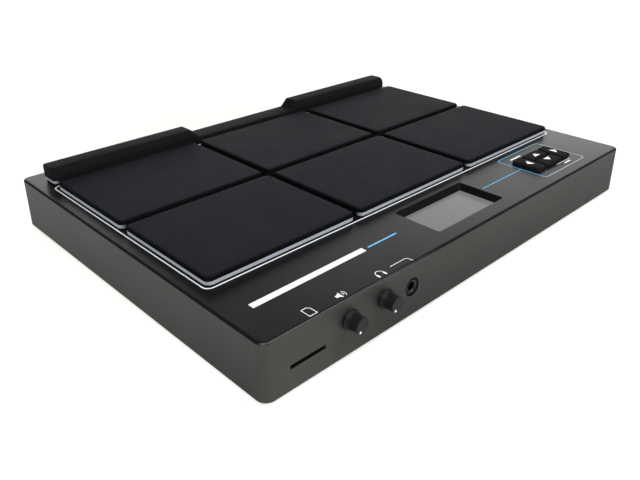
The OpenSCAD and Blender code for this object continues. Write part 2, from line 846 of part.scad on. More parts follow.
// Narrow circuit boards with light sources, clamped under the panel by the pad screws
module led_boards() {
    color([0.1, 0.35, 0.2]) {
        for (i = [0:5])
            difference() {
                union() {
                    for (sy = [-1, 1])
                        translate([pad_x(i), pad_y(i) + sy * (pad_d(i) / 2 - pad_boss_in),
                                   under_z - led_board_t])
                            linear_extrude(led_board_t)
                                rounded(pad_w - pad_boss_in, led_board_w, 1);
                    at_pad_leds(i)
                        translate([-led_size[0] / 2, -led_size[1] / 2, under_z - led_board_t / 2])
                            cube([led_size[0], led_size[1], led_board_t / 2 + led_size[2]]);
                }
                at_pad_bosses(i)
                    translate([0, 0, under_z - led_board_t - over])
                        cylinder(h = led_board_t + 2 * over, d = pad_screw_d + 0.8);
            }
        difference() {
            union() {
                translate([0, strip_y, under_z - led_board_t])
                    linear_extrude(led_board_t)
                        rounded(strip_w - pad_boss_in, led_board_w, 1);
                at_strip_leds()
                    translate([-led_size[0] / 2, -led_size[1] / 2, under_z - led_board_t / 2])
                        cube([led_size[0], led_size[1], led_board_t / 2 + led_size[2]]);
            }
            for (x = strip_boss_x)
                translate([x, strip_y, under_z - led_board_t - over])
                    cylinder(h = led_board_t + 2 * over, d = pad_screw_d + 0.8);
        }
    }
}

// Screws from inside the housing into the light guides' bosses
module pad_screws() {
    color([0.55, 0.55, 0.56]) {
        for (i = [0:5])
            at_pad_bosses(i)
                screw_up(0, 0, under_z - led_board_t, pad_screw_d,
                         led_board_t + pad_bore_l - screw_tip_gap);
        for (x = strip_boss_x)
            screw_up(x, strip_y, under_z - led_board_t, pad_screw_d,
                     led_board_t + strip_bore_l - screw_tip_gap);
    }
}

// Flat window at the bottom of the display opening
module display_window() {
    color([0.55, 0.55, 0.55])
    translate([0, display_y, window_z0])
        linear_extrude(window_t)
            rounded(window_w + 2 * window_rim, window_d + 2 * window_rim, 2);
}

// Display module: framed glass on a small circuit board with four ears
module display_module() {
    w = window_w + 2 * window_rim;
    d = window_d + 2 * window_rim;
    color([0.3, 0.32, 0.3])
    difference() {
        union() {
            translate([0, display_y, lcd_z0])
                linear_extrude(lcd_t)
                    rounded(w, d, 1);
            translate([0, display_y, lcd_z0 - board_t])
                linear_extrude(board_t)
                    rounded(2 * lcd_boss_x + board_boss_d, d + 2, 1);
        }
        for (sx = [-1, 1])
            for (sy = [-1, 1])
                translate([sx * lcd_boss_x, display_y + sy * lcd_boss_y, lcd_z0 - board_t - over])
                    cylinder(h = board_t + 2 * over, d = board_screw_d + 0.8);
    }
}

// One key: rounded cap, guide through the panel, retaining flange and stem
module key(k) {
    color([0.08, 0.08, 0.09])
    translate([keys_cx + k[0], keys_y + k[1], 0]) {
        drafted_block(k[2], k[3], key_corner_r, panel_z - 0.5, panel_z + key_h, 0, key_edge_r);
        translate([0, 0, under_z - key_flange_gap - key_flange_t])
            linear_extrude(panel_t + key_flange_gap + key_flange_t)
                rounded(k[2], k[3], key_corner_r);
        translate([0, 0, under_z - key_flange_gap - key_flange_t])
            linear_extrude(key_flange_t)
                rounded(k[2] + 2 * key_flange + 2 * key_clear - 0.4,
                        k[3] + 2 * key_flange + 2 * key_clear - 0.4, key_corner_r);
        translate([0, 0, key_low_z])
            cylinder(h = key_stem_l + 0.5, d = key_stem_d);
    }
}

// Circuit board with one switch under each key
module key_board() {
    color([0.1, 0.35, 0.2])
    difference() {
        union() {
            translate([keys_cx, keys_y, key_board_z1 - key_board_t])
                linear_extrude(key_board_t)
                    rounded(key_board_w, key_board_d, 2);
            for (k = KEYS)
                translate([keys_cx + k[0], keys_y + k[1], key_board_z1]) {
                    translate([-3, -3, -0.2])
                        cube([6, 6, switch_h - 0.8]);
                    cylinder(h = switch_h, d = 3.5);
                }
        }
        for (sx = [-1, 1])
            for (sy = [-1, 1])
                translate([keys_cx + sx * key_boss_x, keys_y + sy * key_boss_y,
                           key_board_z1 - key_board_t - over])
                    cylinder(h = key_board_t + 2 * over, d = board_screw_d + 0.8);
    }
}

// Circuit board behind the front wall
module front_board() {
    color([0.1, 0.35, 0.2])
    difference() {
        block(front_board[0], front_board[1], front_board[2], front_board[3], board_z0, board_z1);
        for (p = front_boss)
            translate([p[0], p[1], board_z0 - over])
                cylinder(h = board_t + 2 * over, d = board_screw_d + 0.8);
    }
}

// Right-angle potentiometer: block on the board, bush through the front wall
module pot(x) {
    bush_y = -draft_at(knob_z) + 0.2;
    color([0.35, 0.36, 0.38])
    difference() {
        union() {
            block(x - pot_w / 2, x + pot_w / 2, pot_y0, pot_y0 + pot_d, board_z1, knob_z);
            along_y(x, knob_z, pot_w, pot_y0, pot_y0 + pot_d);
            along_y(x, knob_z, bush_d, bush_y, pot_y0 + over);
        }
        along_y(x, knob_z, shaft_d + 2 * shaft_clear, bush_y - over, pot_y0 + pot_d - 2);
    }
}

// Shaft from inside a potentiometer to the knob
module pot_shaft(x) {
    color([0.75, 0.75, 0.76])
    along_y(x, knob_z, shaft_d, -knob_gap - case_draft - knob_bore_l + 0.5, pot_y0 + pot_d - 2.3);
}

// Knob: flared skirt, hollow curve up to a plain cap, bevelled face with an index dimple
module knob(x) {
    r0 = knob_skirt_d / 2;
    r1 = knob_cap_d / 2;
    back = knob_gap + case_draft;
    lip = 0.9;
    flare_l = 4.6;
    flare = [for (k = [0:8]) let (t = k / 8) [r1 + (r0 - r1) * pow(1 - t, 2.2), back + lip + flare_l * t]];
    index_turn = 30;
    index_r = r1 - 1.5;
    index_d = 1.6;
    index_sink = 0.2;
    color([0.2, 0.2, 0.21])
    translate([x, 0, knob_z])
        difference() {
            rotate([90, 0, 0])
                rotate_extrude()
                    polygon(concat([[0, back], [r0 - 0.3, back], [r0, back + 0.3]], flare,
                        [[r1 - 0.15, knob_reach - knob_bevel],
                         [r1 - 0.15 - knob_bevel, knob_reach], [0, knob_reach]]));
            along_y(0, 0, shaft_d + 2 * push_clear, -back - knob_bore_l, over);
            along_y(-index_r * sin(index_turn), -index_r * cos(index_turn), index_d,
                    -knob_reach - over, -knob_reach + index_sink);
        }
}

// Jack socket body along Y with its nose at the low end, seen from the front
module jack_body(x, z, nose_d, nose_y, body_y) {
    difference() {
        union() {
            block(x - jack_w / 2, x + jack_w / 2, body_y, body_y + jack_l, board_z1, board_z1 + jack_h);
            along_y(x, z, nose_d, nose_y, body_y + over);
        }
        along_y(x, z, jack_bore_d + 0.6, nose_y - over, body_y + jack_l - 2);
    }
}

// Headphone socket on the front board
module phones_jack() {
    color([0.1, 0.1, 0.1])
    difference() {
        jack_body(phones_cx, phones_z, phones_nose_d, phones_y0, jack_body_y);
        along_y(phones_cx, phones_z, jack_bush_d + 2 * push_clear,
                phones_y0 - over, phones_y0 + jack_bush_l);
    }
}

// Plain metal bush in the headphone socket's nose, with a funnelled mouth
module phones_bush() {
    mouth = 0.9;
    r_in = jack_bore_d / 2;
    r_out = jack_bush_d / 2;
    color([0.6, 0.6, 0.6])
    translate([phones_cx, phones_y0, phones_z])
        rotate([-90, 0, 0])
            rotate_extrude()
                polygon([[r_in, mouth], [r_in + mouth, 0], [r_out, 0],
                         [r_out, jack_bush_l], [r_in, jack_bush_l]]);
}

// Card socket on the front board, open towards the slot
module card_socket() {
    y0 = card_socket_y;
    lift = card_floor + (card_h - card_cavity[2]) / 2;
    color([0.7, 0.7, 0.71])
    difference() {
        block(card_cx - card_socket[0] / 2, card_cx + card_socket[0] / 2, y0, y0 + card_socket[1],
              board_z1, board_z1 + card_socket[2]);
        block(card_cx - card_cavity[0] / 2, card_cx + card_cavity[0] / 2, y0 - over, y0 + card_cavity[1],
              board_z1 + lift, board_z1 + lift + card_cavity[2]);
    }
}

// Chip on the main board
module chip(x, size) {
    block(x - size[0] / 2, x + size[0] / 2, chip_y - size[1] / 2, chip_y + size[1] / 2,
          board_z1 - 0.2, board_z1 + size[2]);
}

// Main circuit board with its larger chips
module main_board() {
    y0 = main_board_y1 - main_board_d;
    color([0.1, 0.35, 0.2])
    difference() {
        union() {
            block(-main_board_w / 2, main_board_w / 2, y0, main_board_y1, board_z0, board_z1);
            chip(0, main_chip);
            for (sx = [-1, 1])
                chip(sx * side_chip_x, side_chip);
            for (x = capacitor_x)
                translate([x, chip_y, board_z1 - 0.2])
                    cylinder(h = capacitor_h, d = capacitor_d);
        }
        for (p = main_boss)
            translate([p[0], p[1], board_z0 - over])
                cylinder(h = board_t + 2 * over, d = board_screw_d + 0.8);
    }
}

// Screws that hold the boards and the display to their bosses
module board_screws() {
    color([0.55, 0.55, 0.56]) {
        for (p = concat(front_boss, main_boss))
            screw_up(p[0], p[1], board_z0, board_screw_d, board_t + board_screw_l - screw_tip_gap);
        for (sx = [-1, 1])
            for (sy = [-1, 1]) {
                screw_up(keys_cx + sx * key_boss_x, keys_y + sy * key_boss_y, key_board_z1 - key_board_t,
                         board_screw_d, key_board_t + board_screw_l - screw_tip_gap);
                screw_up(sx * lcd_boss_x, display_y + sy * lcd_boss_y, lcd_z0 - board_t,
                         board_screw_d, board_t + board_screw_l - screw_tip_gap);
            }
    }
}

// Flat cable along a path of [y, z] points, lying on that path
module flat_cable(x, w, path) {
    n = len(path);
    upper = [for (k = [n - 1:-1:0]) [path[k][0], path[k][1] + cable_t]];
    translate([x - w / 2, 0, 0])
        rotate([90, 0, 90])
            linear_extrude(w)
                polygon(concat(path, upper));
}

// Flat cables from the front board, the display and the key board to the main board
module flat_cables() {
    y0 = main_board_y1 - main_board_d;
    end_y = y0 + 10;
    lcd_z = lcd_z0 - board_t - cable_t;
    key_z = key_board_z1 - key_board_t - cable_t;
    color([0.6, 0.6, 0.62]) {
        flat_cable(knob_cx[1], 16, [[front_board[3] - 10, board_z1], [end_y, board_z1]]);
        flat_cable(0, 20, [[display_y, lcd_z], [display_y + 30, lcd_z],
                           [y0 - 20, board_z1], [end_y, board_z1]]);
        flat_cable(keys_cx - key_board_w / 2 + 13, 8,
                   [[keys_y, key_z], [keys_y + 30, key_z], [y0 - 20, board_z1], [end_y, board_z1]]);
    }
}

// Steel connector plate in the rear wall
module rear_panel() {
    y0 = rear_in_y - over;
    y1 = rear_face_y + over;
    color([0.16, 0.16, 0.17])
    difference() {
        block(-rear_plate_w / 2, rear_plate_w / 2, rear_in_y, rear_face_y, rear_z0, rear_z0 + rear_plate_h);
        for (x = rear_jack_x)
            along_y(x, rear_jack_z, rear_nose_d + 2 * seat_clear, y0, y1);
        for (x = midi_x)
            along_y(x, midi_z, midi_d + 2 * seat_clear, y0, y1);
        block(usb_x - usb_body[0] / 2 - seat_clear, usb_x + usb_body[0] / 2 + seat_clear, y0, y1,
              board_z1 - seat_clear, board_z1 + usb_body[2] + seat_clear);
        block(power_x - power_cap / 2 - key_clear, power_x + power_cap / 2 + key_clear, y0, y1,
              power_z - power_cap / 2 - key_clear, power_z + power_cap / 2 + key_clear);
        along_y(dc_x, dc_z, dc_hole_d + 1.6, y0, y1);
        for (s = rear_screw)
            along_y(s[0] * (rear_plate_w - rear_frame_w) / 2,
                    rear_z0 + rear_plate_h / 2 + s[1] * (rear_plate_h - rear_frame_w) / 2, 2.4, y0, y1);
    }
}

// Screws of the connector plate
module rear_panel_screws() {
    color([0.3, 0.3, 0.31])
    for (s = rear_screw) {
        x = s[0] * (rear_plate_w - rear_frame_w) / 2;
        z = rear_z0 + rear_plate_h / 2 + s[1] * (rear_plate_h - rear_frame_w) / 2;
        difference() {
            union() {
                along_y(x, z, rear_head_d, rear_face_y, rear_face_y + 1.2);
                along_y(x, z, 2, rear_in_y - rear_frame_t, rear_face_y + 0.5);
            }
            translate([x, rear_face_y + 1.2, z])
                rotate([90, 0, 0])
                    cross_cut(0.6 * rear_head_d);
        }
    }
}

// Jack socket on the main board, its threaded nose through the connector plate
module rear_jack(x) {
    color([0.1, 0.1, 0.1])
    difference() {
        union() {
            block(x - jack_w / 2, x + jack_w / 2, rear_in_y - jack_l, rear_in_y - 0.2,
                  board_z1, rear_jack_z + jack_w / 2);
            along_y(x, rear_jack_z, rear_nose_d, rear_in_y - over, rear_in_y + rear_nose_out);
        }
        along_y(x, rear_jack_z, jack_bore_d, rear_in_y - jack_l + 2, rear_in_y + rear_nose_out + over);
    }
}

// Six-sided nuts on the rear jack noses
module rear_jack_nuts() {
    color([0.5, 0.5, 0.51])
    for (x = rear_jack_x)
        difference() {
            translate([x, rear_face_y, rear_jack_z])
                rotate([-90, 0, 0])
                    cylinder(h = rear_nut_t, d = rear_nut_d, $fn = 6);
            along_y(x, rear_jack_z, rear_nose_d + 2 * push_clear,
                    rear_face_y - over, rear_face_y + rear_nut_t + over);
        }
}

// Five-pin round socket on the main board
module midi_socket(x) {
    face = rear_face_y - 0.2;
    color([0.09, 0.09, 0.09])
    difference() {
        union() {
            block(x - midi_body[0] / 2, x + midi_body[0] / 2, rear_in_y - midi_body[1], rear_in_y - 0.2,
                  board_z1, board_z1 + midi_body[2]);
            along_y(x, midi_z, midi_d, rear_in_y - over, face);
        }
        difference() {
            along_y(x, midi_z, midi_d - 1.2, face - 6, face + over);
            along_y(x, midi_z, midi_d - 4.4, face - 7, face + 2 * over);
        }
        for (a = [-90, -45, 0, 45, 90])
            along_y(x + 3.7 * sin(a), midi_z - 3.7 * cos(a), 1.7, face - 6, face + over);
    }
}

// Square data socket with a tongue inside
module usb_socket() {
    face = rear_face_y - 0.2;
    zc = board_z1 + usb_body[2] / 2;
    w = usb_hole[0] / 2;
    h = usb_hole[1] / 2;
    color([0.72, 0.72, 0.73])
    difference() {
        block(usb_x - usb_body[0] / 2, usb_x + usb_body[0] / 2, face - usb_body[1], face,
              board_z1, board_z1 + usb_body[2]);
        difference() {
            translate([usb_x, face + over, zc])
                rotate([90, 0, 0])
                    linear_extrude(10 + over)
                        polygon([[-w, -h], [w, -h], [w, h - usb_cut], [w - usb_cut, h],
                                 [-w + usb_cut, h], [-w, h - usb_cut]]);
            block(usb_x - 2.8, usb_x + 2.8, face - 11, face - 1.2, zc - 1.6, zc + 1.6);
        }
    }
}

// Round low-voltage power inlet with a centre pin
module power_inlet() {
    face = rear_in_y - 0.2;
    color([0.08, 0.08, 0.08])
    difference() {
        block(dc_x - dc_body[0] / 2, dc_x + dc_body[0] / 2, face - dc_body[1], face,
              board_z1, board_z1 + dc_body[2]);
        difference() {
            along_y(dc_x, dc_z, dc_hole_d, face - 9.5, face + over);
            along_y(dc_x, dc_z, dc_pin_d, face - 10, face - 1);
        }
    }
}

// Push switch behind the power button
module power_switch() {
    y1 = rear_in_y - power_stem_l;
    color([0.75, 0.75, 0.72])
    difference() {
        block(power_x - switch_body[0] / 2, power_x + switch_body[0] / 2, y1 - switch_body[1], y1,
              board_z1, power_z + switch_body[2] / 2);
        block(power_x - power_stem / 2 - key_clear, power_x + power_stem / 2 + key_clear,
              y1 - 4 - power_travel, y1 + over,
              power_z - power_stem / 2 - key_clear, power_z + power_stem / 2 + key_clear);
    }
}

// Square power button with the stem that enters its switch
module power_button() {
    y1 = rear_in_y - power_stem_l;
    color([0.14, 0.14, 0.14]) {
        block(power_x - power_cap / 2, power_x + power_cap / 2,
              y1 + power_travel + 0.4, rear_face_y + power_out,
              power_z - power_cap / 2, power_z + power_cap / 2);
        block(power_x - power_stem / 2, power_x + power_stem / 2, y1 - 3.5, y1 + power_travel + over,
              power_z - power_stem / 2, power_z + power_stem / 2);
    }
}

placed() top_case();
placed() bottom_plate();
placed() feet();
placed() case_screws();
placed() stand_nuts();
placed() pad(0);  // pad_1
placed() pad(1);  // pad_2
placed() pad(2);  // pad_3
placed() pad(3);  // pad_4
placed() pad(4);  // pad_5
placed() pad(5);  // pad_6
placed() light_guide(0);  // light_guide_1
placed() light_guide(1);  // light_guide_2
placed() light_guide(2);  // light_guide_3
placed() light_guide(3);  // light_guide_4
placed() light_guide(4);  // light_guide_5
placed() light_guide(5);  // light_guide_6
placed() rear_strip();
placed() rear_light_guide();
placed() gaskets();
placed() sensor_plates();
placed() piezo_discs();
placed() led_boards();
placed() pad_screws();
placed() display_window();
placed() display_module();
placed() key(KEYS[0]);  // key_left
placed() key(KEYS[1]);  // key_right
placed() key(KEYS[2]);  // key_up
placed() key(KEYS[3]);  // key_down
placed() key_board();
placed() front_board();
placed() pot(knob_cx[0]);  // main_volume_pot
placed() pot_shaft(knob_cx[0]);  // main_volume_shaft
placed() knob(knob_cx[0]);  // main_volume_knob
placed() pot(knob_cx[1]);  // phones_volume_pot
placed() pot_shaft(knob_cx[1]);  // phones_volume_shaft
placed() knob(knob_cx[1]);  // phones_volume_knob
placed() phones_jack();
placed() phones_bush();
placed() card_socket();
placed() main_board();
placed() board_screws();
placed() flat_cables();
placed() rear_panel();
placed() rear_panel_screws();
placed() rear_jack(rear_jack_x[3]);  // output_left_jack
placed() rear_jack(rear_jack_x[2]);  // output_right_jack
placed() rear_jack(rear_jack_x[1]);  // trigger_jack
placed() rear_jack(rear_jack_x[0]);  // footswitch_jack
placed() rear_jack_nuts();
placed() midi_socket(midi_x[0]);  // midi_in_socket
placed() midi_socket(midi_x[1]);  // midi_out_socket
placed() usb_socket();
placed() power_inlet();
placed() power_switch();
placed() power_button();
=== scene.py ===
"""Looks of an electronic percussion pad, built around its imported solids, in metres."""

import math

import bmesh
import bpy
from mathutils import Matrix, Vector


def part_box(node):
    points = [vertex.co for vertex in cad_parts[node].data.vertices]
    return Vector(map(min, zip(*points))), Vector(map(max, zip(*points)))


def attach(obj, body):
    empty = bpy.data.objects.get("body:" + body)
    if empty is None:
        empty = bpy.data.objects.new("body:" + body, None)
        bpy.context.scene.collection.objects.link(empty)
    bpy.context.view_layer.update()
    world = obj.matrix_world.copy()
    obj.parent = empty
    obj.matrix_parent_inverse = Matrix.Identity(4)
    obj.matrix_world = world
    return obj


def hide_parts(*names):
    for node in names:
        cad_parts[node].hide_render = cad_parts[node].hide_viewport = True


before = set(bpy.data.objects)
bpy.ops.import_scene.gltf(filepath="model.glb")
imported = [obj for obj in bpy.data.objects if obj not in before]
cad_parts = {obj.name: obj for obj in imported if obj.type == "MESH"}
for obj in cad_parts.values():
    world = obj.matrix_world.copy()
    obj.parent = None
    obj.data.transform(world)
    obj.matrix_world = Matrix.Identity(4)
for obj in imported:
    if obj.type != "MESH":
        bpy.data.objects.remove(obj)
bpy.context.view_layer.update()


# Housing
# One moulded shell of black plastic: the top panel, four leaning walls and the sunk display opening.
# A spark-eroded mould gives it a fine even grain; painted shade makes its edges and slopes darker than its
# faces.
mm = 0.001
case_low, case_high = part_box("top_case")
wall_lean = 1.3 * mm
panel_z = case_high.z
panel_left = case_low.x + wall_lean
panel_front = case_low.y + wall_lean


def on_panel(right, back):
    """A place on the top panel, from its front left corner."""
    return Vector((panel_left + right, panel_front + back))


def calculated(tree, operation, first, second, clamp=False):
    """A calculation on two sockets or numbers."""
    made = tree.nodes.new("ShaderNodeMath")
    made.operation = operation
    made.use_clamp = clamp
    for place, value in enumerate((first, second)):
        if isinstance(value, (int, float)):
            made.inputs[place].default_value = value
        else:
            tree.links.new(value, made.inputs[place])
    return made.outputs[0]


def product(tree, first, *others):
    """Sockets and numbers multiplied together."""
    for other in others:
        first = calculated(tree, "MULTIPLY", first, other)
    return first


def rest_of(tree, share):
    """What a share leaves of the whole."""
    return calculated(tree, "SUBTRACT", 1.0, share)


def split_vector(tree, source, output):
    """The X, Y and Z of a vector that a new node of the given kind puts out."""
    vector = tree.nodes.new(source)
    parts = tree.nodes.new("ShaderNodeSeparateXYZ")
    tree.links.new(vector.outputs[output], parts.inputs[0])
    return parts.outputs


def own_place(tree):
    """Where a point of the surface lies, in the piece's own coordinates."""
    return split_vector(tree, "ShaderNodeTexCoord", "Object")


def facing(tree):
    """Which way the surface faces."""
    return split_vector(tree, "ShaderNodeNewGeometry", "Normal")


def shader_group(name, inputs, outputs):
    """An empty shader group with its named number sockets."""
    group = bpy.data.node_groups.new(name, "ShaderNodeTree")
    for socket, value in inputs.items():
        made = group.interface.new_socket(name=socket, in_out="INPUT", socket_type="NodeSocketFloat")
        made.default_value = value
    for socket in outputs:
        group.interface.new_socket(name=socket, in_out="OUTPUT", socket_type="NodeSocketFloat")
    return group, group.nodes.new("NodeGroupInput"), group.nodes.new("NodeGroupOutput")


def noise_of_size(group, size, detail):
    """A noise in the piece's own coordinates whose blotches have the size given by a socket."""
    place = group.nodes.new("ShaderNodeTexCoord")
    noise = group.nodes.new("ShaderNodeTexNoise")
    noise.inputs["Detail"].default_value = detail
    group.links.new(place.outputs["Object"], noise.inputs["Vector"])
    group.links.new(calculated(group, "DIVIDE", 1.0, size), noise.inputs["Scale"])
    return noise.outputs["Fac"]


fine_detail, broad_detail = 2.0, 4.0
grain_group, grain_in, grain_out = shader_group(
    "moulded_grain", {"Grain size": 0.4 * mm, "Mottle size": 12 * mm}, ["Height", "Mottle"])
fine_noise = noise_of_size(grain_group, grain_in.outputs["Grain size"], fine_detail)
broad_noise = noise_of_size(grain_group, grain_in.outputs["Mottle size"], broad_detail)
grain_group.links.new(fine_noise, grain_out.inputs["Height"])
grain_group.links.new(broad_noise, grain_out.inputs["Mottle"])

# An edge's round is where the surface faces neither up nor sideways, and its slope is a quarter at most
edge_group, edge_in, edge_out = shader_group("rounded_edge", {"Amount": 1.0}, ["Edge"])
steepest = 0.25
edge_up = facing(edge_group)["Z"]
edge_slope = product(edge_group, edge_up, rest_of(edge_group, edge_up), edge_in.outputs["Amount"])
edge_share = calculated(edge_group, "DIVIDE", edge_slope, steepest, clamp=True)
edge_group.links.new(edge_share, edge_out.inputs["Edge"])

# A fade is nothing up to its start and full one length further on; a negative length fades the other way
fade_group, fade_in, fade_out = shader_group("fade", {"Place": 0.0, "Start": 0.0, "Length": 1.0}, ["Share"])
past_start = calculated(fade_group, "SUBTRACT", fade_in.outputs["Place"], fade_in.outputs["Start"])
fade_share = calculated(fade_group, "DIVIDE", past_start, fade_in.outputs["Length"], clamp=True)
fade_group.links.new(fade_share, fade_out.inputs["Share"])


def place_group(tree, group, **values):
    """Places a shader group in a material with its own values."""
    placed = tree.nodes.new("ShaderNodeGroup")
    placed.node_tree = group
    for socket, value in values.items():
        placed.inputs[socket.replace("_", " ")].default_value = value
    return placed


def faded(tree, place, start, length):
    """The share of an effect that fades in along the surface."""
    fade = place_group(tree, fade_group, Start=start, Length=length)
    tree.links.new(place, fade.inputs["Place"])
    return fade.outputs["Share"]


def mapped(tree, value, from_low, from_high, to_low, to_high, curve="LINEAR"):
    """A value mapped from one range to another and held at both ends."""
    spread = tree.nodes.new("ShaderNodeMapRange")
    spread.interpolation_type = curve
    spread.inputs["From Min"].default_value = from_low
    spread.inputs["From Max"].default_value = from_high
    spread.inputs["To Min"].default_value = to_low
    spread.inputs["To Max"].default_value = to_high
    tree.links.new(value, spread.inputs["Value"])
    return spread.outputs["Result"]


def mixed_colour(tree, share, first, second):
    """A colour between two colours or sockets, by a share that changes over the surface."""
    share_input, first_input, second_input, colour_output = 0, 6, 7, 2
    mix = tree.nodes.new("ShaderNodeMix")
    mix.data_type = "RGBA"
    for place, colour in ((first_input, first), (second_input, second)):
        if isinstance(colour, tuple):
            mix.inputs[place].default_value = (*colour, 1.0)
        else:
            tree.links.new(colour, mix.inputs[place])
    tree.links.new(share, mix.inputs[share_input])
    return mix.outputs[colour_output]


def surface_of(material):
    """The shader that a material ends in."""
    return material.node_tree.nodes["Principled BSDF"]


def moulded(name, dark, light, smooth, rough, grain_size, grain_depth, mottle_size=12 * mm, edge_shine=0.0,
            shine=0.5):
    """A moulded plastic, rubber or paint: two near tones, mottled gloss, grain, and shinier edges."""
    mottle_low, mottle_high = 0.3, 0.7
    material = bpy.data.materials.new(name)
    material.use_nodes = True
    tree = material.node_tree
    surface = surface_of(material)
    surface.inputs["Specular IOR Level"].default_value = shine
    grain = place_group(tree, grain_group, Grain_size=grain_size, Mottle_size=mottle_size)
    mottle = grain.outputs["Mottle"]
    tree.links.new(mixed_colour(tree, mottle, dark, light), surface.inputs["Base Color"])
    gloss = mapped(tree, mottle, mottle_low, mottle_high, smooth, rough)
    if edge_shine > 0:
        edge = place_group(tree, edge_group, Amount=edge_shine)
        gloss = calculated(tree, "SUBTRACT", gloss, edge.outputs["Edge"])
    tree.links.new(gloss, surface.inputs["Roughness"])
    bump = tree.nodes.new("ShaderNodeBump")
    bump.inputs["Strength"].default_value = 1.0
    bump.inputs["Distance"].default_value = grain_depth
    tree.links.new(grain.outputs["Height"], bump.inputs["Height"])
    tree.links.new(bump.outputs["Normal"], surface.inputs["Normal"])
    return material


def toned(material, share, colour):
    """Lets another colour take over from a material's own one where the share falls to nothing."""
    tree = material.node_tree
    base = surface_of(material).inputs["Base Color"]
    tree.links.new(mixed_colour(tree, share, colour, base.links[0].from_socket), base)


def dress(material, *names):
    """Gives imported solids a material."""
    for name in names:
        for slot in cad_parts[name].material_slots:
            slot.material = material


housing_plastic = moulded("housing_plastic", dark=(0.0049, 0.0048, 0.0052), light=(0.0059, 0.0058, 0.0062),
                          smooth=0.30, rough=0.34, grain_size=0.35 * mm, grain_depth=0.006 * mm,
                          mottle_size=30 * mm, edge_shine=0.05, shine=0.12)
housing_tree = housing_plastic.node_tree
housing_surface = surface_of(housing_plastic)
housing_place = own_place(housing_tree)
housing_edge = place_group(housing_tree, edge_group, Amount=1.0).outputs["Edge"]
# Painted shade blackens the rounded edges and the slopes
edge_shade_black = (0.0012, 0.0012, 0.0012)
toned(housing_plastic, rest_of(housing_tree, housing_edge), edge_shade_black)

# Hands polish the front edge by the controls, and neither the left edge nor the depth of the display opening
polish, polish_roughness = 0.95, 0.25
polish_foot, polish_rise = panel_z - 3.2 * mm, 1.2 * mm
polish_end, polish_run = on_panel(160 * mm, 0).x, 50 * mm
front_end, front_run = on_panel(0, 6 * mm).y, 3 * mm
high_up = faded(housing_tree, housing_place["Z"], polish_foot, polish_rise)
by_controls = faded(housing_tree, housing_place["X"], polish_end, -polish_run)
at_front = faded(housing_tree, housing_place["Y"], front_end, -front_run)
polished = product(housing_tree, high_up, by_controls, at_front)
edge_polish = product(housing_tree, housing_edge, polished, polish)
housing_tree.links.new(edge_polish, housing_surface.inputs["Coat Weight"])
housing_surface.inputs["Coat Roughness"].default_value = polish_roughness

# Painted light and shade: the walls are paler than the panel, most of all near the top, and darker towards
# the foot
level_from, level_span = 0.0, 0.25
level_share = faded(housing_tree, facing(housing_tree)["Z"], level_from, level_span)
rise = faded(housing_tree, housing_place["Z"], 0.0, panel_z)
wall_foot_tone, wall_top_tone = (0.0140, 0.0138, 0.0126), (0.0400, 0.0396, 0.0363)
painted_wall_tone = mixed_colour(housing_tree, rise, wall_foot_tone, wall_top_tone)
# Painted light makes the front wall by the left corner evenly light from top to foot
corner_light_tone = (0.0450, 0.0446, 0.0409)
corner_end, corner_run = on_panel(110 * mm, 0).x, 70 * mm
by_corner = faded(housing_tree, housing_place["X"], corner_end, -corner_run)
by_corner = product(housing_tree, by_corner, at_front)
toned(housing_plastic, level_share, mixed_colour(housing_tree, by_corner, painted_wall_tone, corner_light_tone))
# Painted shade makes the walls a little darker towards the right end
end_foot_tone, end_top_tone = (0.0130, 0.0128, 0.0117), (0.0210, 0.0208, 0.0191)
end_shade_tone = mixed_colour(housing_tree, rise, end_foot_tone, end_top_tone)
end_full, end_run = on_panel(420 * mm, 0).x, 150 * mm
before_end = faded(housing_tree, housing_place["X"], end_full, -end_run)
toned(housing_plastic, calculated(housing_tree, "ADD", level_share, before_end, clamp=True), end_shade_tone)

# The walls, and the edges and slopes away from the controls, keep the dull face of the mould
wall_dulling, edge_dulling = 0.14, 0.5
dull_wall = product(housing_tree, rest_of(housing_tree, level_share), wall_dulling)
dull_edge = product(housing_tree, rest_of(housing_tree, polished), housing_edge, level_share, edge_dulling)
housing_gloss = housing_surface.inputs["Roughness"].links[0].from_socket
housing_gloss = calculated(housing_tree, "ADD", housing_gloss, dull_edge)
housing_gloss = calculated(housing_tree, "ADD", housing_gloss, dull_wall)
housing_tree.links.new(housing_gloss, housing_surface.inputs["Roughness"])
dress(housing_plastic, "top_case")


# Printed marks on the panel
# White and blue ink, screen-printed on the housing: a line round the pads, two plain stripes,
# and small signs above the front controls. Each is a film of ink as thin as the print.
ink_t = 0.04 * mm


def panel_points(*places):
    """Places on the panel, given in millimetres from its front left corner."""
    return [on_panel(x * mm, y * mm) for x, y in places]


def rounded_path(corners, radius, steps=6, closed=True):
    """A path through corners, with an arc of that radius at each one that it turns at."""
    path = []
    count = len(corners)
    for i, corner in enumerate(corners):
        corner = Vector(corner)
        if not closed and i in (0, count - 1):
            path.append(corner)
            continue
        before = (Vector(corners[i - 1]) - corner).normalized()
        after = (Vector(corners[(i + 1) % count]) - corner).normalized()
        half = before.angle(after) / 2
        centre = corner + (before + after).normalized() * (radius / math.sin(half))
        start = corner + before * (radius / math.tan(half)) - centre
        end = corner + after * (radius / math.tan(half)) - centre
        turn = start.angle_signed(end)
        for k in range(steps + 1):
            angle = turn * k / steps
            path.append(centre + Vector((start.x * math.cos(angle) + start.y * math.sin(angle),
                                         start.y * math.cos(angle) - start.x * math.sin(angle))))
    return path


def arc_path(centre, radius, start_deg, end_deg, steps=12):
    """Points of an arc about a centre."""
    angles = [math.radians(start_deg + (end_deg - start_deg) * k / steps) for k in range(steps + 1)]
    return [Vector(centre) + Vector((math.cos(a), math.sin(a))) * radius for a in angles]


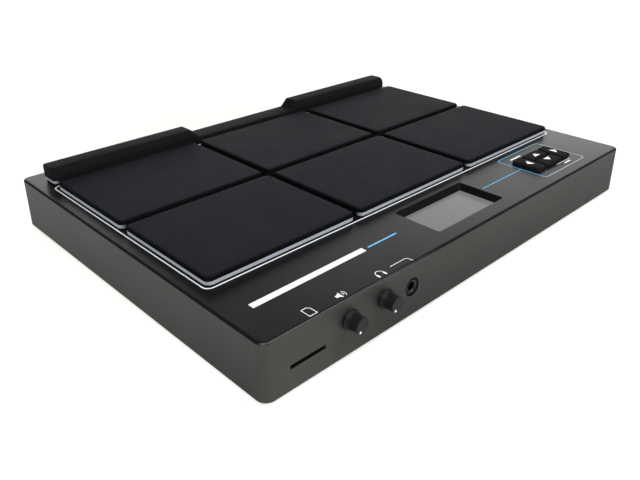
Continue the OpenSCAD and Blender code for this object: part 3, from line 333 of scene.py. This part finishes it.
def draw_line(mesh, path, width, closed=False):
    """Adds a line of ink of even width along a path on the panel."""
    sharpest = 0.5
    low, high = panel_z, panel_z + ink_t
    count = len(path)
    rings = []
    for i, point in enumerate(path):
        ways = []
        if closed or i > 0:
            ways.append((point - path[i - 1]).normalized())
        if closed or i < count - 1:
            ways.append((path[(i + 1) % count] - point).normalized())
        along = (ways[0] + ways[-1]).normalized()
        across = Vector((-along.y, along.x)) * (width / 2 / max(along.dot(ways[0]), sharpest))
        left, right = point + across, point - across
        corners = ((left, low), (right, low), (right, high), (left, high))
        rings.append([mesh.verts.new((p.x, p.y, z)) for p, z in corners])
    for i in range(count if closed else count - 1):
        first, second = rings[i], rings[(i + 1) % count]
        for k in range(4):
            mesh.faces.new([first[k], first[(k + 1) % 4], second[(k + 1) % 4], second[k]])
    if not closed:
        mesh.faces.new(rings[0][::-1])
        mesh.faces.new(rings[-1])


def draw_shape(mesh, outline, low, high):
    """Adds a flat shape with straight sides between two heights."""
    bottom = [mesh.verts.new((p.x, p.y, low)) for p in outline]
    top = [mesh.verts.new((p.x, p.y, high)) for p in outline]
    mesh.faces.new(bottom[::-1])
    mesh.faces.new(top)
    for i in range(len(outline)):
        j = (i + 1) % len(outline)
        mesh.faces.new([bottom[i], bottom[j], top[j], top[i]])


def finished_piece(name, mesh, material, body, smooth=False):
    """Makes an object of a built mesh, gives it its finish and lets it ride on a body."""
    sharp_turn = math.radians(40)
    bmesh.ops.recalc_face_normals(mesh, faces=mesh.faces)
    data = bpy.data.meshes.new(name)
    mesh.to_mesh(data)
    mesh.free()
    for face in data.polygons:
        face.use_smooth = smooth
    if smooth:
        data.set_sharp_from_angle(angle=sharp_turn)
    data.materials.append(material)
    piece = bpy.data.objects.new(name, data)
    bpy.context.scene.collection.objects.link(piece)
    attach(piece, body)
    return piece


def ink(name, dark, light):
    """Screen ink: an even film with a slightly uneven gloss."""
    return moulded(name, dark, light, smooth=0.42, rough=0.55, grain_size=0.25 * mm, grain_depth=0.004 * mm,
                   mottle_size=5 * mm)


blue_tones = ((0.07, 0.42, 0.72), (0.10, 0.50, 0.80))
white_ink = ink("white_ink", (0.82, 0.85, 0.88), (0.90, 0.92, 0.94))
blue_ink = ink("blue_ink", *blue_tones)

pad_line = bmesh.new()
pad_line_w, pad_line_r = 1.1 * mm, 5 * mm
pad_line_corners = panel_points((11, 65.9), (419, 65.9), (419, 278.4), (11, 278.4))
draw_line(pad_line, rounded_path(pad_line_corners, pad_line_r), pad_line_w, closed=True)
finished_piece("pad_line", pad_line, white_ink, "case")

stripe_y, title_stripe_w, blue_stripe_w = 34, 5 * mm, 1.4 * mm
title_stripe = bmesh.new()
draw_line(title_stripe, panel_points((19.5, stripe_y), (117, stripe_y)), title_stripe_w)
finished_piece("title_stripe", title_stripe, white_ink, "case")
blue_stripe = bmesh.new()
draw_line(blue_stripe, panel_points((121, stripe_y), (150.5, stripe_y)), blue_stripe_w)
finished_piece("blue_stripe", blue_stripe, blue_ink, "case")

# The card sign is a card with one cut corner
sign_line = 0.5 * mm
front_signs = bmesh.new()
card = panel_points((37.6, 2.6), (43.4, 2.6), (43.4, 8.6), (41.6, 10.4), (37.6, 10.4))
draw_line(front_signs, card, sign_line, closed=True)
# The speaker sign is a small horn with two waves
horn = panel_points((62.2, 4.9), (64, 4.9), (66.2, 3.1), (66.2, 9.1), (64, 7.3), (62.2, 7.3))
horn_mouth, wave_deg = on_panel(66.4 * mm, 6.1 * mm), 48
draw_shape(front_signs, horn, panel_z, panel_z + ink_t)
for wave_r in (1.8 * mm, 3.4 * mm):
    draw_line(front_signs, arc_path(horn_mouth, wave_r, -wave_deg, wave_deg), sign_line)
# The headphone sign is a band with two ear cups
band_centre, band_r = on_panel(101.3 * mm, 5.6 * mm), 3.2 * mm
cup_x, cup_drop, cup_half, cup_w = 3.0 * mm, 1.5 * mm, 1.5 * mm, 1.5 * mm
draw_line(front_signs, arc_path(band_centre, band_r, 0, 180), sign_line)
for side in (-1, 1):
    cup = band_centre + Vector((side * cup_x, -cup_drop))
    draw_line(front_signs, [cup + Vector((0, -cup_half)), cup + Vector((0, cup_half))], cup_w)
# A bracket leads from the headphone sign to the socket below the edge
bracket = panel_points((112.4, 6.8), (128.6, 6.8), (129.4, 1.6))
draw_line(front_signs, rounded_path(bracket, 2 * mm, closed=False), sign_line)
finished_piece("front_signs", front_signs, white_ink, "case")


# Light guides
# Frosted clear plastic frames, screwed to the panel, that carry the pads. A painted glow lights them a little
# along their outer edges, and painted shade blackens the sides that face a neighbour, in the narrow gaps
# between pads.
guides_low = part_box("light_guide_4")[0]
guides_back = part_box("rear_light_guide")[1].y
rear_gap_margin, unshaded_depth = 2.5 * mm, 4.5 * mm
glow_foot, glow_rise, glow_strength = panel_z - 0.4 * mm, 2.2 * mm, 0.08
gap_shade_black, dark, painted_guide_glow = (0.006, 0.006, 0.0065), (0.0, 0.0, 0.0), (0.75, 0.85, 1.0)
guide_plastic = moulded("guide_plastic", dark=(0.31, 0.335, 0.375), light=(0.35, 0.375, 0.415),
                        smooth=0.30, rough=0.38, grain_size=0.3 * mm, grain_depth=0.004 * mm, edge_shine=0.05)
guide_tree = guide_plastic.node_tree
guide_surface = surface_of(guide_plastic)
guide_place = own_place(guide_tree)
from_middle = calculated(guide_tree, "ABSOLUTE", guide_place["X"], 0.0)
from_side = calculated(guide_tree, "SUBTRACT", -guides_low.x, from_middle)
from_front = calculated(guide_tree, "SUBTRACT", guide_place["Y"], guides_low.y)
from_back = calculated(guide_tree, "SUBTRACT", guides_back + rear_gap_margin, guide_place["Y"])
from_edge = calculated(guide_tree, "MINIMUM", from_front, from_back)
from_edge = calculated(guide_tree, "MINIMUM", from_edge, from_side)
outside_gaps = faded(guide_tree, from_edge, unshaded_depth, -unshaded_depth)
# The painted glow thins out towards the guide's foot, and painted shade blackens it there
lit = faded(guide_tree, guide_place["Z"], glow_foot, glow_rise)
unshaded_glow_share = product(guide_tree, outside_gaps, lit)
# Painted shade blackens the guides in the gaps and at the foot, and a painted glow lights the rest
toned(guide_plastic, unshaded_glow_share, gap_shade_black)
painted_glow_colour = mixed_colour(guide_tree, unshaded_glow_share, dark, painted_guide_glow)
guide_tree.links.new(painted_glow_colour, guide_surface.inputs["Emission Color"])
guide_surface.inputs["Emission Strength"].default_value = glow_strength
dress(guide_plastic, *["light_guide_%d" % i for i in range(1, 7)], "rear_light_guide")


# Pads
# Moulded playing rubber, one slab to a light guide, with a rounded rim and a top that swells a little.
# A tongue under a slab drops into its guide. Painted shade keeps the rim and sides black against the dull
# grey top.
pad_rubber = moulded("pad_rubber", dark=(0.0088, 0.0097, 0.0126), light=(0.0098, 0.0107, 0.0138),
                     smooth=0.66, rough=0.74, grain_size=0.5 * mm, grain_depth=0.015 * mm,
                     mottle_size=25 * mm, shine=0.03)
pad_tree = pad_rubber.node_tree
lit_top_from, lit_top_span, rim_shade_black = 0.72, 0.25, (0.0030, 0.0031, 0.0036)
# Painted shade blackens the rim and sides of each slab
toned(pad_rubber, faded(pad_tree, facing(pad_tree)["Z"], lit_top_from, lit_top_span), rim_shade_black)
pad_corner_r, pad_rim_r, pad_swell = 4.5 * mm, 2.2 * mm, 0.15 * mm


def quarter_turn(steps):
    """Angles from nothing to a right angle."""
    return [math.pi / 2 * k / steps for k in range(steps + 1)]


def rounded_outline(width, depth, radius, steps=8):
    """A rounded rectangle about the middle."""
    x, y = width / 2, depth / 2
    return rounded_path([(x, -y), (x, y), (-x, y), (-x, -y)], radius, steps)


def rounded_slab(mesh, centre, low, high, width, depth):
    """Adds a pad's slab with round corners, a round rim and a top that swells towards its middle."""
    rim_steps, swell_shares = 6, (0.96, 0.85, 0.65, 0.4)
    levels = [(low, 0.0)]
    for angle in quarter_turn(rim_steps):
        levels.append((high - pad_rim_r + pad_rim_r * math.sin(angle), pad_rim_r * (1 - math.cos(angle))))
    loops = []
    for z, inset in levels:
        outline = rounded_outline(width - 2 * inset, depth - 2 * inset, pad_corner_r - inset)
        loops.append([mesh.verts.new((centre.x + p.x, centre.y + p.y, z)) for p in outline])
    flat = rounded_outline(width - 2 * pad_rim_r, depth - 2 * pad_rim_r, pad_corner_r - pad_rim_r)
    for share in swell_shares:
        z = high + pad_swell * (1 - share ** 2)
        loops.append([mesh.verts.new((centre.x + p.x * share, centre.y + p.y * share, z)) for p in flat])
    for lower, upper in zip(loops, loops[1:]):
        for i in range(len(lower)):
            j = (i + 1) % len(lower)
            mesh.faces.new([lower[i], lower[j], upper[j], upper[i]])
    mesh.faces.new(loops[0][::-1])
    mesh.faces.new(loops[-1])


for i in range(1, 7):
    guide_low, guide_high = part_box("light_guide_%d" % i)
    rubber_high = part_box("pad_%d" % i)[1].z
    slab = bmesh.new()
    rounded_slab(slab, (guide_low + guide_high) / 2, guide_high.z, rubber_high,
                 guide_high.x - guide_low.x, guide_high.y - guide_low.y)
    pad = finished_piece("pad_rubber_%d" % i, slab, pad_rubber, "case", smooth=True)
    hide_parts("pad_%d" % i)


# Rear strip
# One length of black rubber with two raised trigger bars and a low middle, which sits on its own light guide.
# The front of a bar turns into its top in one large round, which dies away along the slope to the middle.
strip_rubber = moulded("strip_rubber", dark=(0.0070, 0.0070, 0.0075), light=(0.0081, 0.0081, 0.0086),
                       smooth=0.70, rough=0.78, grain_size=0.5 * mm, grain_depth=0.015 * mm,
                       mottle_size=25 * mm, shine=0.04)
strip_low, strip_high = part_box("rear_strip")
bar_top = strip_high.z
middle_top = panel_z + 7 * mm
middle_half, slope_l, foot_r, crest_r = 58.5 * mm, 7.5 * mm, 3 * mm, 2 * mm
bar_front_r, small_r, strip_corner_r, strip_end_r = 6 * mm, 1.6 * mm, 3.5 * mm, 1 * mm
front_steps, back_steps, slope_steps, end_steps = 8, 5, 6, 12


def strip_section(mesh, x, top, front_r, inset):
    """Adds the points of one section of the strip, from its front foot over the top to its back foot."""
    front, back = strip_low.y + inset, strip_high.y - inset
    outline = [(front, strip_low.z)]
    for angle in quarter_turn(front_steps):
        outline.append((front + front_r * (1 - math.cos(angle)), top - front_r * (1 - math.sin(angle))))
    for angle in quarter_turn(back_steps):
        outline.append((back - small_r * (1 - math.sin(angle)), top - small_r * (1 - math.cos(angle))))
    outline.append((back, strip_low.z))
    return [mesh.verts.new((x, y, z)) for y, z in outline]


# Stations of the right half from the middle outwards: place, height of the top, inset of front and back
slope_turn = math.atan((bar_top - middle_top) / slope_l)
foot_x = middle_half - foot_r * math.tan(slope_turn / 2)
crest_x = middle_half + slope_l + crest_r * math.tan(slope_turn / 2)
stations = [(0.0, middle_top, 0.0)]
for k in range(slope_steps + 1):
    angle = slope_turn * k / slope_steps
    stations.append((foot_x + foot_r * math.sin(angle), middle_top + foot_r * (1 - math.cos(angle)), 0.0))
for k in range(slope_steps + 1):
    angle = slope_turn * (1 - k / slope_steps)
    stations.append((crest_x - crest_r * math.sin(angle), bar_top - crest_r * (1 - math.cos(angle)), 0.0))
for angle in quarter_turn(end_steps):
    from_end = strip_corner_r * (1 - math.sin(angle))
    inset = strip_corner_r * (1 - math.cos(angle))
    round_left = max(strip_end_r - from_end, 0.0)
    drop = strip_end_r - math.sqrt(max(strip_end_r ** 2 - round_left ** 2, 0.0))
    stations.append((strip_high.x - from_end, bar_top - drop, inset))
strip_mesh = bmesh.new()
sections = []
for side in (-1, 1):
    for x, top, inset in stations[::-1] if side < 0 else stations[1:]:
        share = (top - middle_top) / (bar_top - middle_top)
        front_r = small_r + (bar_front_r - small_r) * share
        sections.append(strip_section(strip_mesh, side * x, top, front_r, inset))
for first, second in zip(sections, sections[1:]):
    for k in range(len(first)):
        j = (k + 1) % len(first)
        strip_mesh.faces.new([first[k], first[j], second[j], second[k]])
strip_mesh.faces.new(sections[0])
strip_mesh.faces.new(sections[-1][::-1])
strip = finished_piece("strip_rubber", strip_mesh, strip_rubber, "case", smooth=True)
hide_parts("rear_strip")


# Pad sensors
# Frames of black foam between the panel and the light guides, steel plates that take the strokes, and brass
# piezo discs glued under the plates. Plated screws from inside the housing go into the guides' bosses.
foam_black = moulded("foam_black", dark=(0.004, 0.004, 0.004), light=(0.008, 0.008, 0.008),
                     smooth=0.85, rough=0.95, grain_size=0.6 * mm, grain_depth=0.15 * mm, shine=0.1)
dress(foam_black, "gaskets")


def metal(name, dark, light, smooth, rough, grain_size=0.3 * mm, grain_depth=0.003 * mm):
    """A bare or plated metal with a fine uneven surface."""
    material = moulded(name, dark, light, smooth, rough, grain_size, grain_depth, mottle_size=4 * mm)
    surface_of(material).inputs["Metallic"].default_value = 1.0
    return material


plain_steel = metal("plain_steel", dark=(0.42, 0.42, 0.43), light=(0.52, 0.52, 0.53), smooth=0.25, rough=0.4)
dress(plain_steel, "sensor_plates")
plain_brass = metal("plain_brass", dark=(0.60, 0.44, 0.18), light=(0.70, 0.54, 0.25), smooth=0.25, rough=0.4)
dress(plain_brass, "piezo_discs")
zinc_steel = metal("zinc_steel", dark=(0.34, 0.34, 0.35), light=(0.46, 0.46, 0.46), smooth=0.3, rough=0.45)
dress(zinc_steel, "pad_screws")


# Display
# A flat grey display behind a clear window, which closes the sunk opening from below.
# The display module is framed glass on a small board, screwed to bosses of the housing.
display_window = moulded("display_window", dark=(0.045, 0.045, 0.046), light=(0.052, 0.052, 0.053),
                         smooth=0.16, rough=0.2, grain_size=0.3 * mm, grain_depth=0.001 * mm,
                         mottle_size=40 * mm, shine=0.12)
# A painted glow lights the window evenly, so the slopes hardly shade it
painted_window_glow = (0.14, 0.14, 0.1425)
window_surface = surface_of(display_window)
window_surface.inputs["Emission Color"].default_value = (*painted_window_glow, 1.0)
window_surface.inputs["Emission Strength"].default_value = 1.0
dress(display_window, "display_window")
part_black = moulded("part_black", dark=(0.005, 0.005, 0.005), light=(0.007, 0.007, 0.007),
                     smooth=0.45, rough=0.55, grain_size=0.4 * mm, grain_depth=0.006 * mm)
dress(part_black, "display_module")


# Keys
# Four black silicone keys that stand through the panel, each with a white arrowhead printed on its top.
# A flange under the panel keeps a key in, and its stem stands over a switch of the key board.
key_rubber = moulded("key_rubber", dark=(0.0110, 0.0103, 0.0114), light=(0.0120, 0.0113, 0.0124),
                     smooth=0.68, rough=0.76, grain_size=0.3 * mm, grain_depth=0.006 * mm,
                     edge_shine=0.05, shine=0.02)
arrow_l, arrow_w = 5 * mm, 8.6 * mm
# Which way each arrowhead points, and how far it lies off the middle of its key in millimetres
key_arrows = {"left": ((-1, 0), (-1.0, 0)), "right": ((1, 0), (0.9, 0)),
              "up": ((0, 1), (0, -0.7)), "down": ((0, -1), (0, 0.9))}
for word, (way, shift) in key_arrows.items():
    key = "key_" + word
    dress(key_rubber, key)
    key_low, key_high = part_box(key)
    middle = Vector(((key_low.x + key_high.x) / 2, (key_low.y + key_high.y) / 2)) + Vector(shift) * mm
    ahead = Vector(way) * arrow_l / 2
    aside = Vector((-way[1], way[0])) * arrow_w / 2
    arrow = bmesh.new()
    draw_shape(arrow, [middle + ahead, middle - ahead + aside, middle - ahead - aside],
               key_high.z, key_high.z + ink_t)
    finished_piece("arrow_of_" + key, arrow, white_ink, word + "_key")


# Key frame
# A line of ink printed on the panel round the keys, with a lead to the display and plain white marks inside.
# The line is blue at the display's side and turns grey towards the right and the front.
frame_ink = ink("frame_ink", *blue_tones)
frame_tree = frame_ink.node_tree
frame_line, frame_r, frame_grey = 0.8 * mm, 4 * mm, (0.40, 0.43, 0.44)
frame_left, frame_right, frame_front, frame_back, lead_y = 317, 383.8, 10.9, 59.1, 34.9
frame_start = on_panel(frame_left * mm, 59 * mm)
blue_run, fade_run = 32 * mm, 40 * mm
all_grey = frame_start.x - frame_start.y + blue_run + fade_run
frame_place = own_place(frame_tree)
along_frame = calculated(frame_tree, "SUBTRACT", frame_place["X"], frame_place["Y"])
toned(frame_ink, faded(frame_tree, along_frame, all_grey, -fade_run), frame_grey)
key_frame = bmesh.new()
frame_corners = panel_points((frame_left, frame_front), (frame_right, frame_front), (frame_right, frame_back),
                             (frame_left, frame_back))
draw_line(key_frame, rounded_path(frame_corners, frame_r), frame_line, closed=True)
finished_piece("key_frame", key_frame, frame_ink, "case")
key_lead = bmesh.new()
draw_line(key_lead, panel_points((259, lead_y), (316.5, lead_y)), frame_line)
finished_piece("key_lead", key_lead, frame_ink, "case")
key_marks = bmesh.new()
mark_w = 1.8 * mm
draw_line(key_marks, panel_points((328.5, 52.4), (344.5, 52.4)), mark_w)
draw_line(key_marks, panel_points((357.5, 16.1), (367.5, 16.1)), mark_w)
mark_bracket = panel_points((349, 18.9), (371.5, 18.9), (371.5, 20.4))
draw_line(key_marks, rounded_path(mark_bracket, 1 * mm, closed=False), sign_line)
finished_piece("key_marks", key_marks, white_ink, "case")


# Boards and cables
# Green circuit boards: the main, front and key boards are screwed to bosses of the housing, and the pad
# screws clamp the narrow boards with the lights under the panel. Grey flat cables run to the main board.
board_green = moulded("board_green", dark=(0.012, 0.09, 0.035), light=(0.02, 0.13, 0.05),
                      smooth=0.3, rough=0.4, grain_size=0.4 * mm, grain_depth=0.004 * mm)
dress(board_green, "led_boards", "key_board", "front_board", "main_board")
dress(zinc_steel, "board_screws")
cable_grey = moulded("cable_grey", dark=(0.30, 0.30, 0.32), light=(0.38, 0.38, 0.40),
                     smooth=0.45, rough=0.55, grain_size=0.6 * mm, grain_depth=0.01 * mm)
dress(cable_grey, "flat_cables")


# Front sockets
# The headphone socket has a dull black nose with a plain bush of dark metal in it, and the card socket opens
# towards its slot. Both have bodies of black plastic and sit on the front board.
nose_black = moulded("nose_black", dark=(0.0012, 0.0012, 0.0012), light=(0.0018, 0.0018, 0.0018),
                     smooth=0.55, rough=0.65, grain_size=0.4 * mm, grain_depth=0.006 * mm, shine=0.06)
dress(nose_black, "phones_jack")
dark_nickel = metal("dark_nickel", dark=(0.025, 0.025, 0.025), light=(0.035, 0.035, 0.035),
                    smooth=0.25, rough=0.35)
dress(dark_nickel, "phones_bush")
dress(part_black, "card_socket")


# Knobs
# Two soft-touch plastic knobs, pushed on the plain steel shafts of potentiometers on the front board.
# Each has a white index dot, which is ink in a dimple of its face.
dress(plain_steel, "main_volume_pot", "phones_volume_pot", "main_volume_shaft", "phones_volume_shaft")
knob_plastic = moulded("knob_plastic", dark=(0.0066, 0.0066, 0.0068), light=(0.0078, 0.0078, 0.0080),
                       smooth=0.45, rough=0.52, grain_size=0.25 * mm, grain_depth=0.004 * mm, shine=0.16)
# Painted shade blackens the lip of the skirt by the wall
knob_tree = knob_plastic.node_tree
lip_l, lip_fade, lip_shade_black = 1.0 * mm, 0.2 * mm, (0.0008, 0.0008, 0.0008)
lip_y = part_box("main_volume_knob")[1].y - lip_l
toned(knob_plastic, faded(knob_tree, own_place(knob_tree)["Y"], lip_y, -lip_fade), lip_shade_black)
dress(knob_plastic, "main_volume_knob", "phones_volume_knob")
index_r, index_turn, dot_r, dot_sink, dot_points = 4.1 * mm, math.radians(30), 0.8 * mm, 0.2 * mm, 24
for body in ("main_volume", "phones_volume"):
    knob_low, knob_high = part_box(body + "_knob")
    dot = bmesh.new()
    centre = Vector(((knob_low.x + knob_high.x) / 2 - index_r * math.sin(index_turn),
                     (knob_low.z + knob_high.z) / 2 - index_r * math.cos(index_turn)))
    dot_outline = arc_path(centre, dot_r, 0, 360 - 360 / dot_points, dot_points - 1)
    draw_shape(dot, dot_outline, -knob_low.y - dot_sink, -knob_low.y + ink_t)
    for vert in dot.verts:
        x, z, out = vert.co
        vert.co = (x, -out, z)
    finished_piece("index_dot_of_" + body, dot, white_ink, body)


# Rear connector plate
# A flat sheet of steel with black powder coat, screwed into its seat in the rear wall. Jacks, round sockets,
# data socket, power inlet and power switch stand behind it; six-sided nuts hold the jacks.
powder_coat = moulded("powder_coat", dark=(0.010, 0.010, 0.0105), light=(0.016, 0.016, 0.0165),
                      smooth=0.45, rough=0.55, grain_size=0.5 * mm, grain_depth=0.03 * mm)
dress(powder_coat, "rear_panel")
dress(zinc_steel, "rear_panel_screws", "rear_jack_nuts")
dress(part_black, "output_left_jack", "output_right_jack", "trigger_jack", "footswitch_jack",
      "midi_in_socket", "midi_out_socket", "power_inlet", "power_switch")
dress(plain_steel, "usb_socket")
button_plastic = moulded("button_plastic", dark=(0.026, 0.026, 0.027), light=(0.032, 0.032, 0.033),
                         smooth=0.42, rough=0.5, grain_size=0.25 * mm, grain_depth=0.004 * mm, shine=0.2)
dress(button_plastic, "power_button")


# Socket contacts
# Turned brass sleeves in the round sockets, brass strips on the data socket's tongue, and the steel skin of
# the power inlet's centre pin. The bodies of the sockets hold them.
contact_brass = metal("contact_brass", dark=(0.62, 0.45, 0.18), light=(0.72, 0.55, 0.25),
                      smooth=0.2, rough=0.3, grain_size=0.2 * mm, grain_depth=0.002 * mm)


def add_turning(mesh, x, z, profile, steps=16):
    """Adds a turned shape about a line along Y; a profile that starts off the line is closed to a ring."""
    rings = []
    for radius, y in profile:
        if radius == 0:
            rings.append([mesh.verts.new((x, y, z))])
            continue
        turns = [2 * math.pi * k / steps for k in range(steps)]
        rings.append([mesh.verts.new((x + radius * math.cos(a), y, z + radius * math.sin(a))) for a in turns])
    pairs = list(zip(rings, rings[1:]))
    if profile[0][0] > 0:
        pairs.append((rings[-1], rings[0]))
    for first, second in pairs:
        for k in range(steps):
            j = (k + 1) % steps
            near = [first[k % len(first)], first[j % len(first)]]
            far = [second[j % len(second)], second[k % len(second)]]
            mesh.faces.new(list(dict.fromkeys(near + far)))


sleeves = bmesh.new()
round_axis_z, hole_circle_r, sleeve_r, sleeve_bore_r = 10.2 * mm, 3.7 * mm, 0.8 * mm, 0.55 * mm
sleeve_deep, sleeve_shallow = 5.6 * mm, 0.5 * mm
for name in ("midi_in_socket", "midi_out_socket"):
    socket_low, socket_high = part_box(name)
    socket_x, socket_z = (socket_low.x + socket_high.x) / 2, socket_low.z + round_axis_z
    deep, shallow = socket_high.y - sleeve_deep, socket_high.y - sleeve_shallow
    sleeve = [(sleeve_r, deep), (sleeve_r, shallow), (sleeve_bore_r, shallow), (sleeve_bore_r, deep)]
    for turn in (-90, -45, 0, 45, 90):
        hole_x = socket_x + hole_circle_r * math.sin(math.radians(turn))
        hole_z = socket_z - hole_circle_r * math.cos(math.radians(turn))
        add_turning(sleeves, hole_x, hole_z, sleeve)
finished_piece("round_socket_sleeves", sleeves, contact_brass, "case", smooth=True)

strips = bmesh.new()
data_axis_z, tongue_half, contact_x, contact_half = 5.5 * mm, 1.6 * mm, 1.3 * mm, 0.5 * mm
contact_deep, contact_shallow, contact_t, contact_r = 7 * mm, 1.8 * mm, 0.1 * mm, 0.3 * mm
data_low, data_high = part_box("usb_socket")
data_x, data_z = (data_low.x + data_high.x) / 2, data_low.z + data_axis_z
deep, shallow = data_high.y - contact_deep, data_high.y - contact_shallow
for side in (-1, 1):
    skin = data_z + side * tongue_half
    face = skin + side * contact_t
    for x in (data_x - contact_x, data_x + contact_x):
        left, right = x - contact_half, x + contact_half
        outline = rounded_path([(left, deep), (right, deep), (right, shallow), (left, shallow)], contact_r, 3)
        draw_shape(strips, outline, min(skin, face), max(skin, face))
finished_piece("data_socket_strips", strips, contact_brass, "case")

pin = bmesh.new()
inlet_axis_z, pin_sink, pin_deep = 6.5 * mm, 0.8 * mm, 9.4 * mm
pin_r, tip_r, tip_l = 1.06 * mm, 0.7 * mm, 0.4 * mm
inlet_low, inlet_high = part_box("power_inlet")
pin_x, pin_z = (inlet_low.x + inlet_high.x) / 2, inlet_low.z + inlet_axis_z
pin_end, pin_root = inlet_high.y - pin_sink, inlet_high.y - pin_deep
add_turning(pin, pin_x, pin_z, [(0, pin_root), (pin_r, pin_root), (pin_r, pin_end - tip_l), (tip_r, pin_end),
                                (0, pin_end)])
finished_piece("inlet_pin", pin, plain_steel, "case", smooth=True)


# Bottom plate
# A flat sheet of steel with black powder coat that closes the underside, held by zinc-plated screws.
# Four moulded rubber feet stand under it, and four brass clinch nuts in it take a stand.
dress(powder_coat, "bottom_plate")
dress(zinc_steel, "case_screws")
dress(plain_brass, "stand_nuts")
foot_rubber = moulded("foot_rubber", dark=(0.006, 0.006, 0.006), light=(0.010, 0.010, 0.010),
                      smooth=0.7, rough=0.8, grain_size=0.5 * mm, grain_depth=0.02 * mm)
dress(foot_rubber, "feet")


# Studio
# A plain floor of pale paper, a pale surround that is brightest near the horizon, two square soft boxes,
# and the camera. None of it is part of the object.
floor_half, floor_drop = 6.0, 0.05 * mm
floor_mesh = bmesh.new()
bmesh.ops.create_grid(floor_mesh, x_segments=2, y_segments=2, size=floor_half)
floor_data = bpy.data.meshes.new("floor")
floor_mesh.to_mesh(floor_data)
floor_mesh.free()
floor = bpy.data.objects.new("floor", floor_data)
floor.location.z = -floor_drop
bpy.context.scene.collection.objects.link(floor)
floor_paper = moulded("floor_paper", dark=(0.52, 0.52, 0.51), light=(0.54, 0.54, 0.53),
                      smooth=0.8, rough=0.9, grain_size=2 * mm, grain_depth=0.01 * mm, shine=0.1)
floor_data.materials.append(floor_paper)

# The paper glows, less so under and before the object as painted shade, and fully to its left as painted
# light over its shadow; it is clear to a view from below
near_glow, far_glow = (0.54, 0.53, 0.505), (0.80, 0.795, 0.78)
near_r, near_run, near_left, near_left_run = 0.3, 0.5, -0.15, 0.12
floor_tree = floor_paper.node_tree
floor_surface = surface_of(floor_paper)
floor_place = own_place(floor_tree)
floor_spot = floor_tree.nodes.new("ShaderNodeTexCoord")
floor_far = floor_tree.nodes.new("ShaderNodeVectorMath")
floor_far.operation = "LENGTH"
floor_tree.links.new(floor_spot.outputs["Object"], floor_far.inputs[0])
far_share = faded(floor_tree, floor_far.outputs["Value"], near_r, near_run)
left_share = faded(floor_tree, floor_place["X"], near_left, -near_left_run)
floor_share = calculated(floor_tree, "MAXIMUM", far_share, left_share)
floor_glow = mixed_colour(floor_tree, floor_share, near_glow, far_glow)
# A painted pool of light on the paper at the right front glows brightly and throws its light at the front
# wall
painted_pool_glow = (2.6, 2.6, 2.55)
pool_right, pool_right_run, pool_front, pool_front_run = 0.15, 0.35, -0.2, 0.3
to_right = faded(floor_tree, floor_place["X"], pool_right, pool_right_run)
to_front = faded(floor_tree, floor_place["Y"], pool_front, -pool_front_run)
pool_share = product(floor_tree, to_right, to_front)
floor_glow = mixed_colour(floor_tree, pool_share, floor_glow, painted_pool_glow)
floor_tree.links.new(floor_glow, floor_surface.inputs["Emission Color"])
floor_surface.inputs["Emission Strength"].default_value = 1.0
floor_facing = floor_tree.nodes.new("ShaderNodeNewGeometry")
floor_top = rest_of(floor_tree, floor_facing.outputs["Backfacing"])
floor_tree.links.new(floor_top, floor_surface.inputs["Alpha"])

# The surround is bright at the horizon, and brightest low down behind the object and to its right
world = bpy.data.worlds.new("surround")
world.use_nodes = True
sky = world.node_tree
sky_way = split_vector(sky, "ShaderNodeTexCoord", "Generated")
low_end, low_gone, back_start, back_full, back_gain = 0.26, 0.52, -0.1, 0.6, 4.0
right_start, right_full, horizon_end, horizon_gone, overhead = -0.1, 0.4, 0.10, 0.28, 0.16
low_share = mapped(sky, sky_way["Z"], low_end, low_gone, 1.0, 0.0, curve="SMOOTHSTEP")
back_share = mapped(sky, sky_way["Y"], back_start, back_full, 0.0, back_gain)
right_share = mapped(sky, sky_way["X"], right_start, right_full, 0.0, 1.0)
horizon_share = mapped(sky, sky_way["Z"], horizon_end, horizon_gone, 1.0, overhead, curve="SMOOTHSTEP")
bright = calculated(sky, "ADD", product(sky, low_share, back_share, right_share), horizon_share)
sky.links.new(bright, sky.nodes["Background"].inputs["Strength"])
sky.nodes["Background"].inputs["Color"].default_value = (1.0, 1.0, 1.0, 1.0)
bpy.context.scene.world = world


def soft_box(name, place, power):
    """A square soft light that looks at the object."""
    box_side = 0.9
    light = bpy.data.lights.new(name, "AREA")
    light.shape = "SQUARE"
    light.size = box_side
    light.energy = power
    lamp = bpy.data.objects.new(name, light)
    lamp.location = place
    lamp.visible_camera = False
    lamp.rotation_euler = (-Vector(place)).to_track_quat("-Z", "Y").to_euler()
    bpy.context.scene.collection.objects.link(lamp)


soft_box("key_box", (0.36, -0.82, 0.98), 11)
soft_box("fill_box", (-0.75, -0.65, 1.1), 13)

# The camera stands where the photograph was taken from, fitted to the housing's edges
photo_lens, film_width = 37.04, 36.0
camera_place = (-387.7 * mm, -376.5 * mm, 262.8 * mm)
camera_turns = (61.330, 0.093, -43.968)
camera_data = bpy.data.cameras.new("camera")
camera_data.lens = photo_lens
camera_data.sensor_width = film_width
camera = bpy.data.objects.new("camera", camera_data)
camera.location = camera_place
camera.rotation_euler = [math.radians(turn) for turn in camera_turns]
bpy.context.scene.collection.objects.link(camera)
bpy.context.scene.camera = camera
bpy.context.scene.view_settings.view_transform = "Standard"
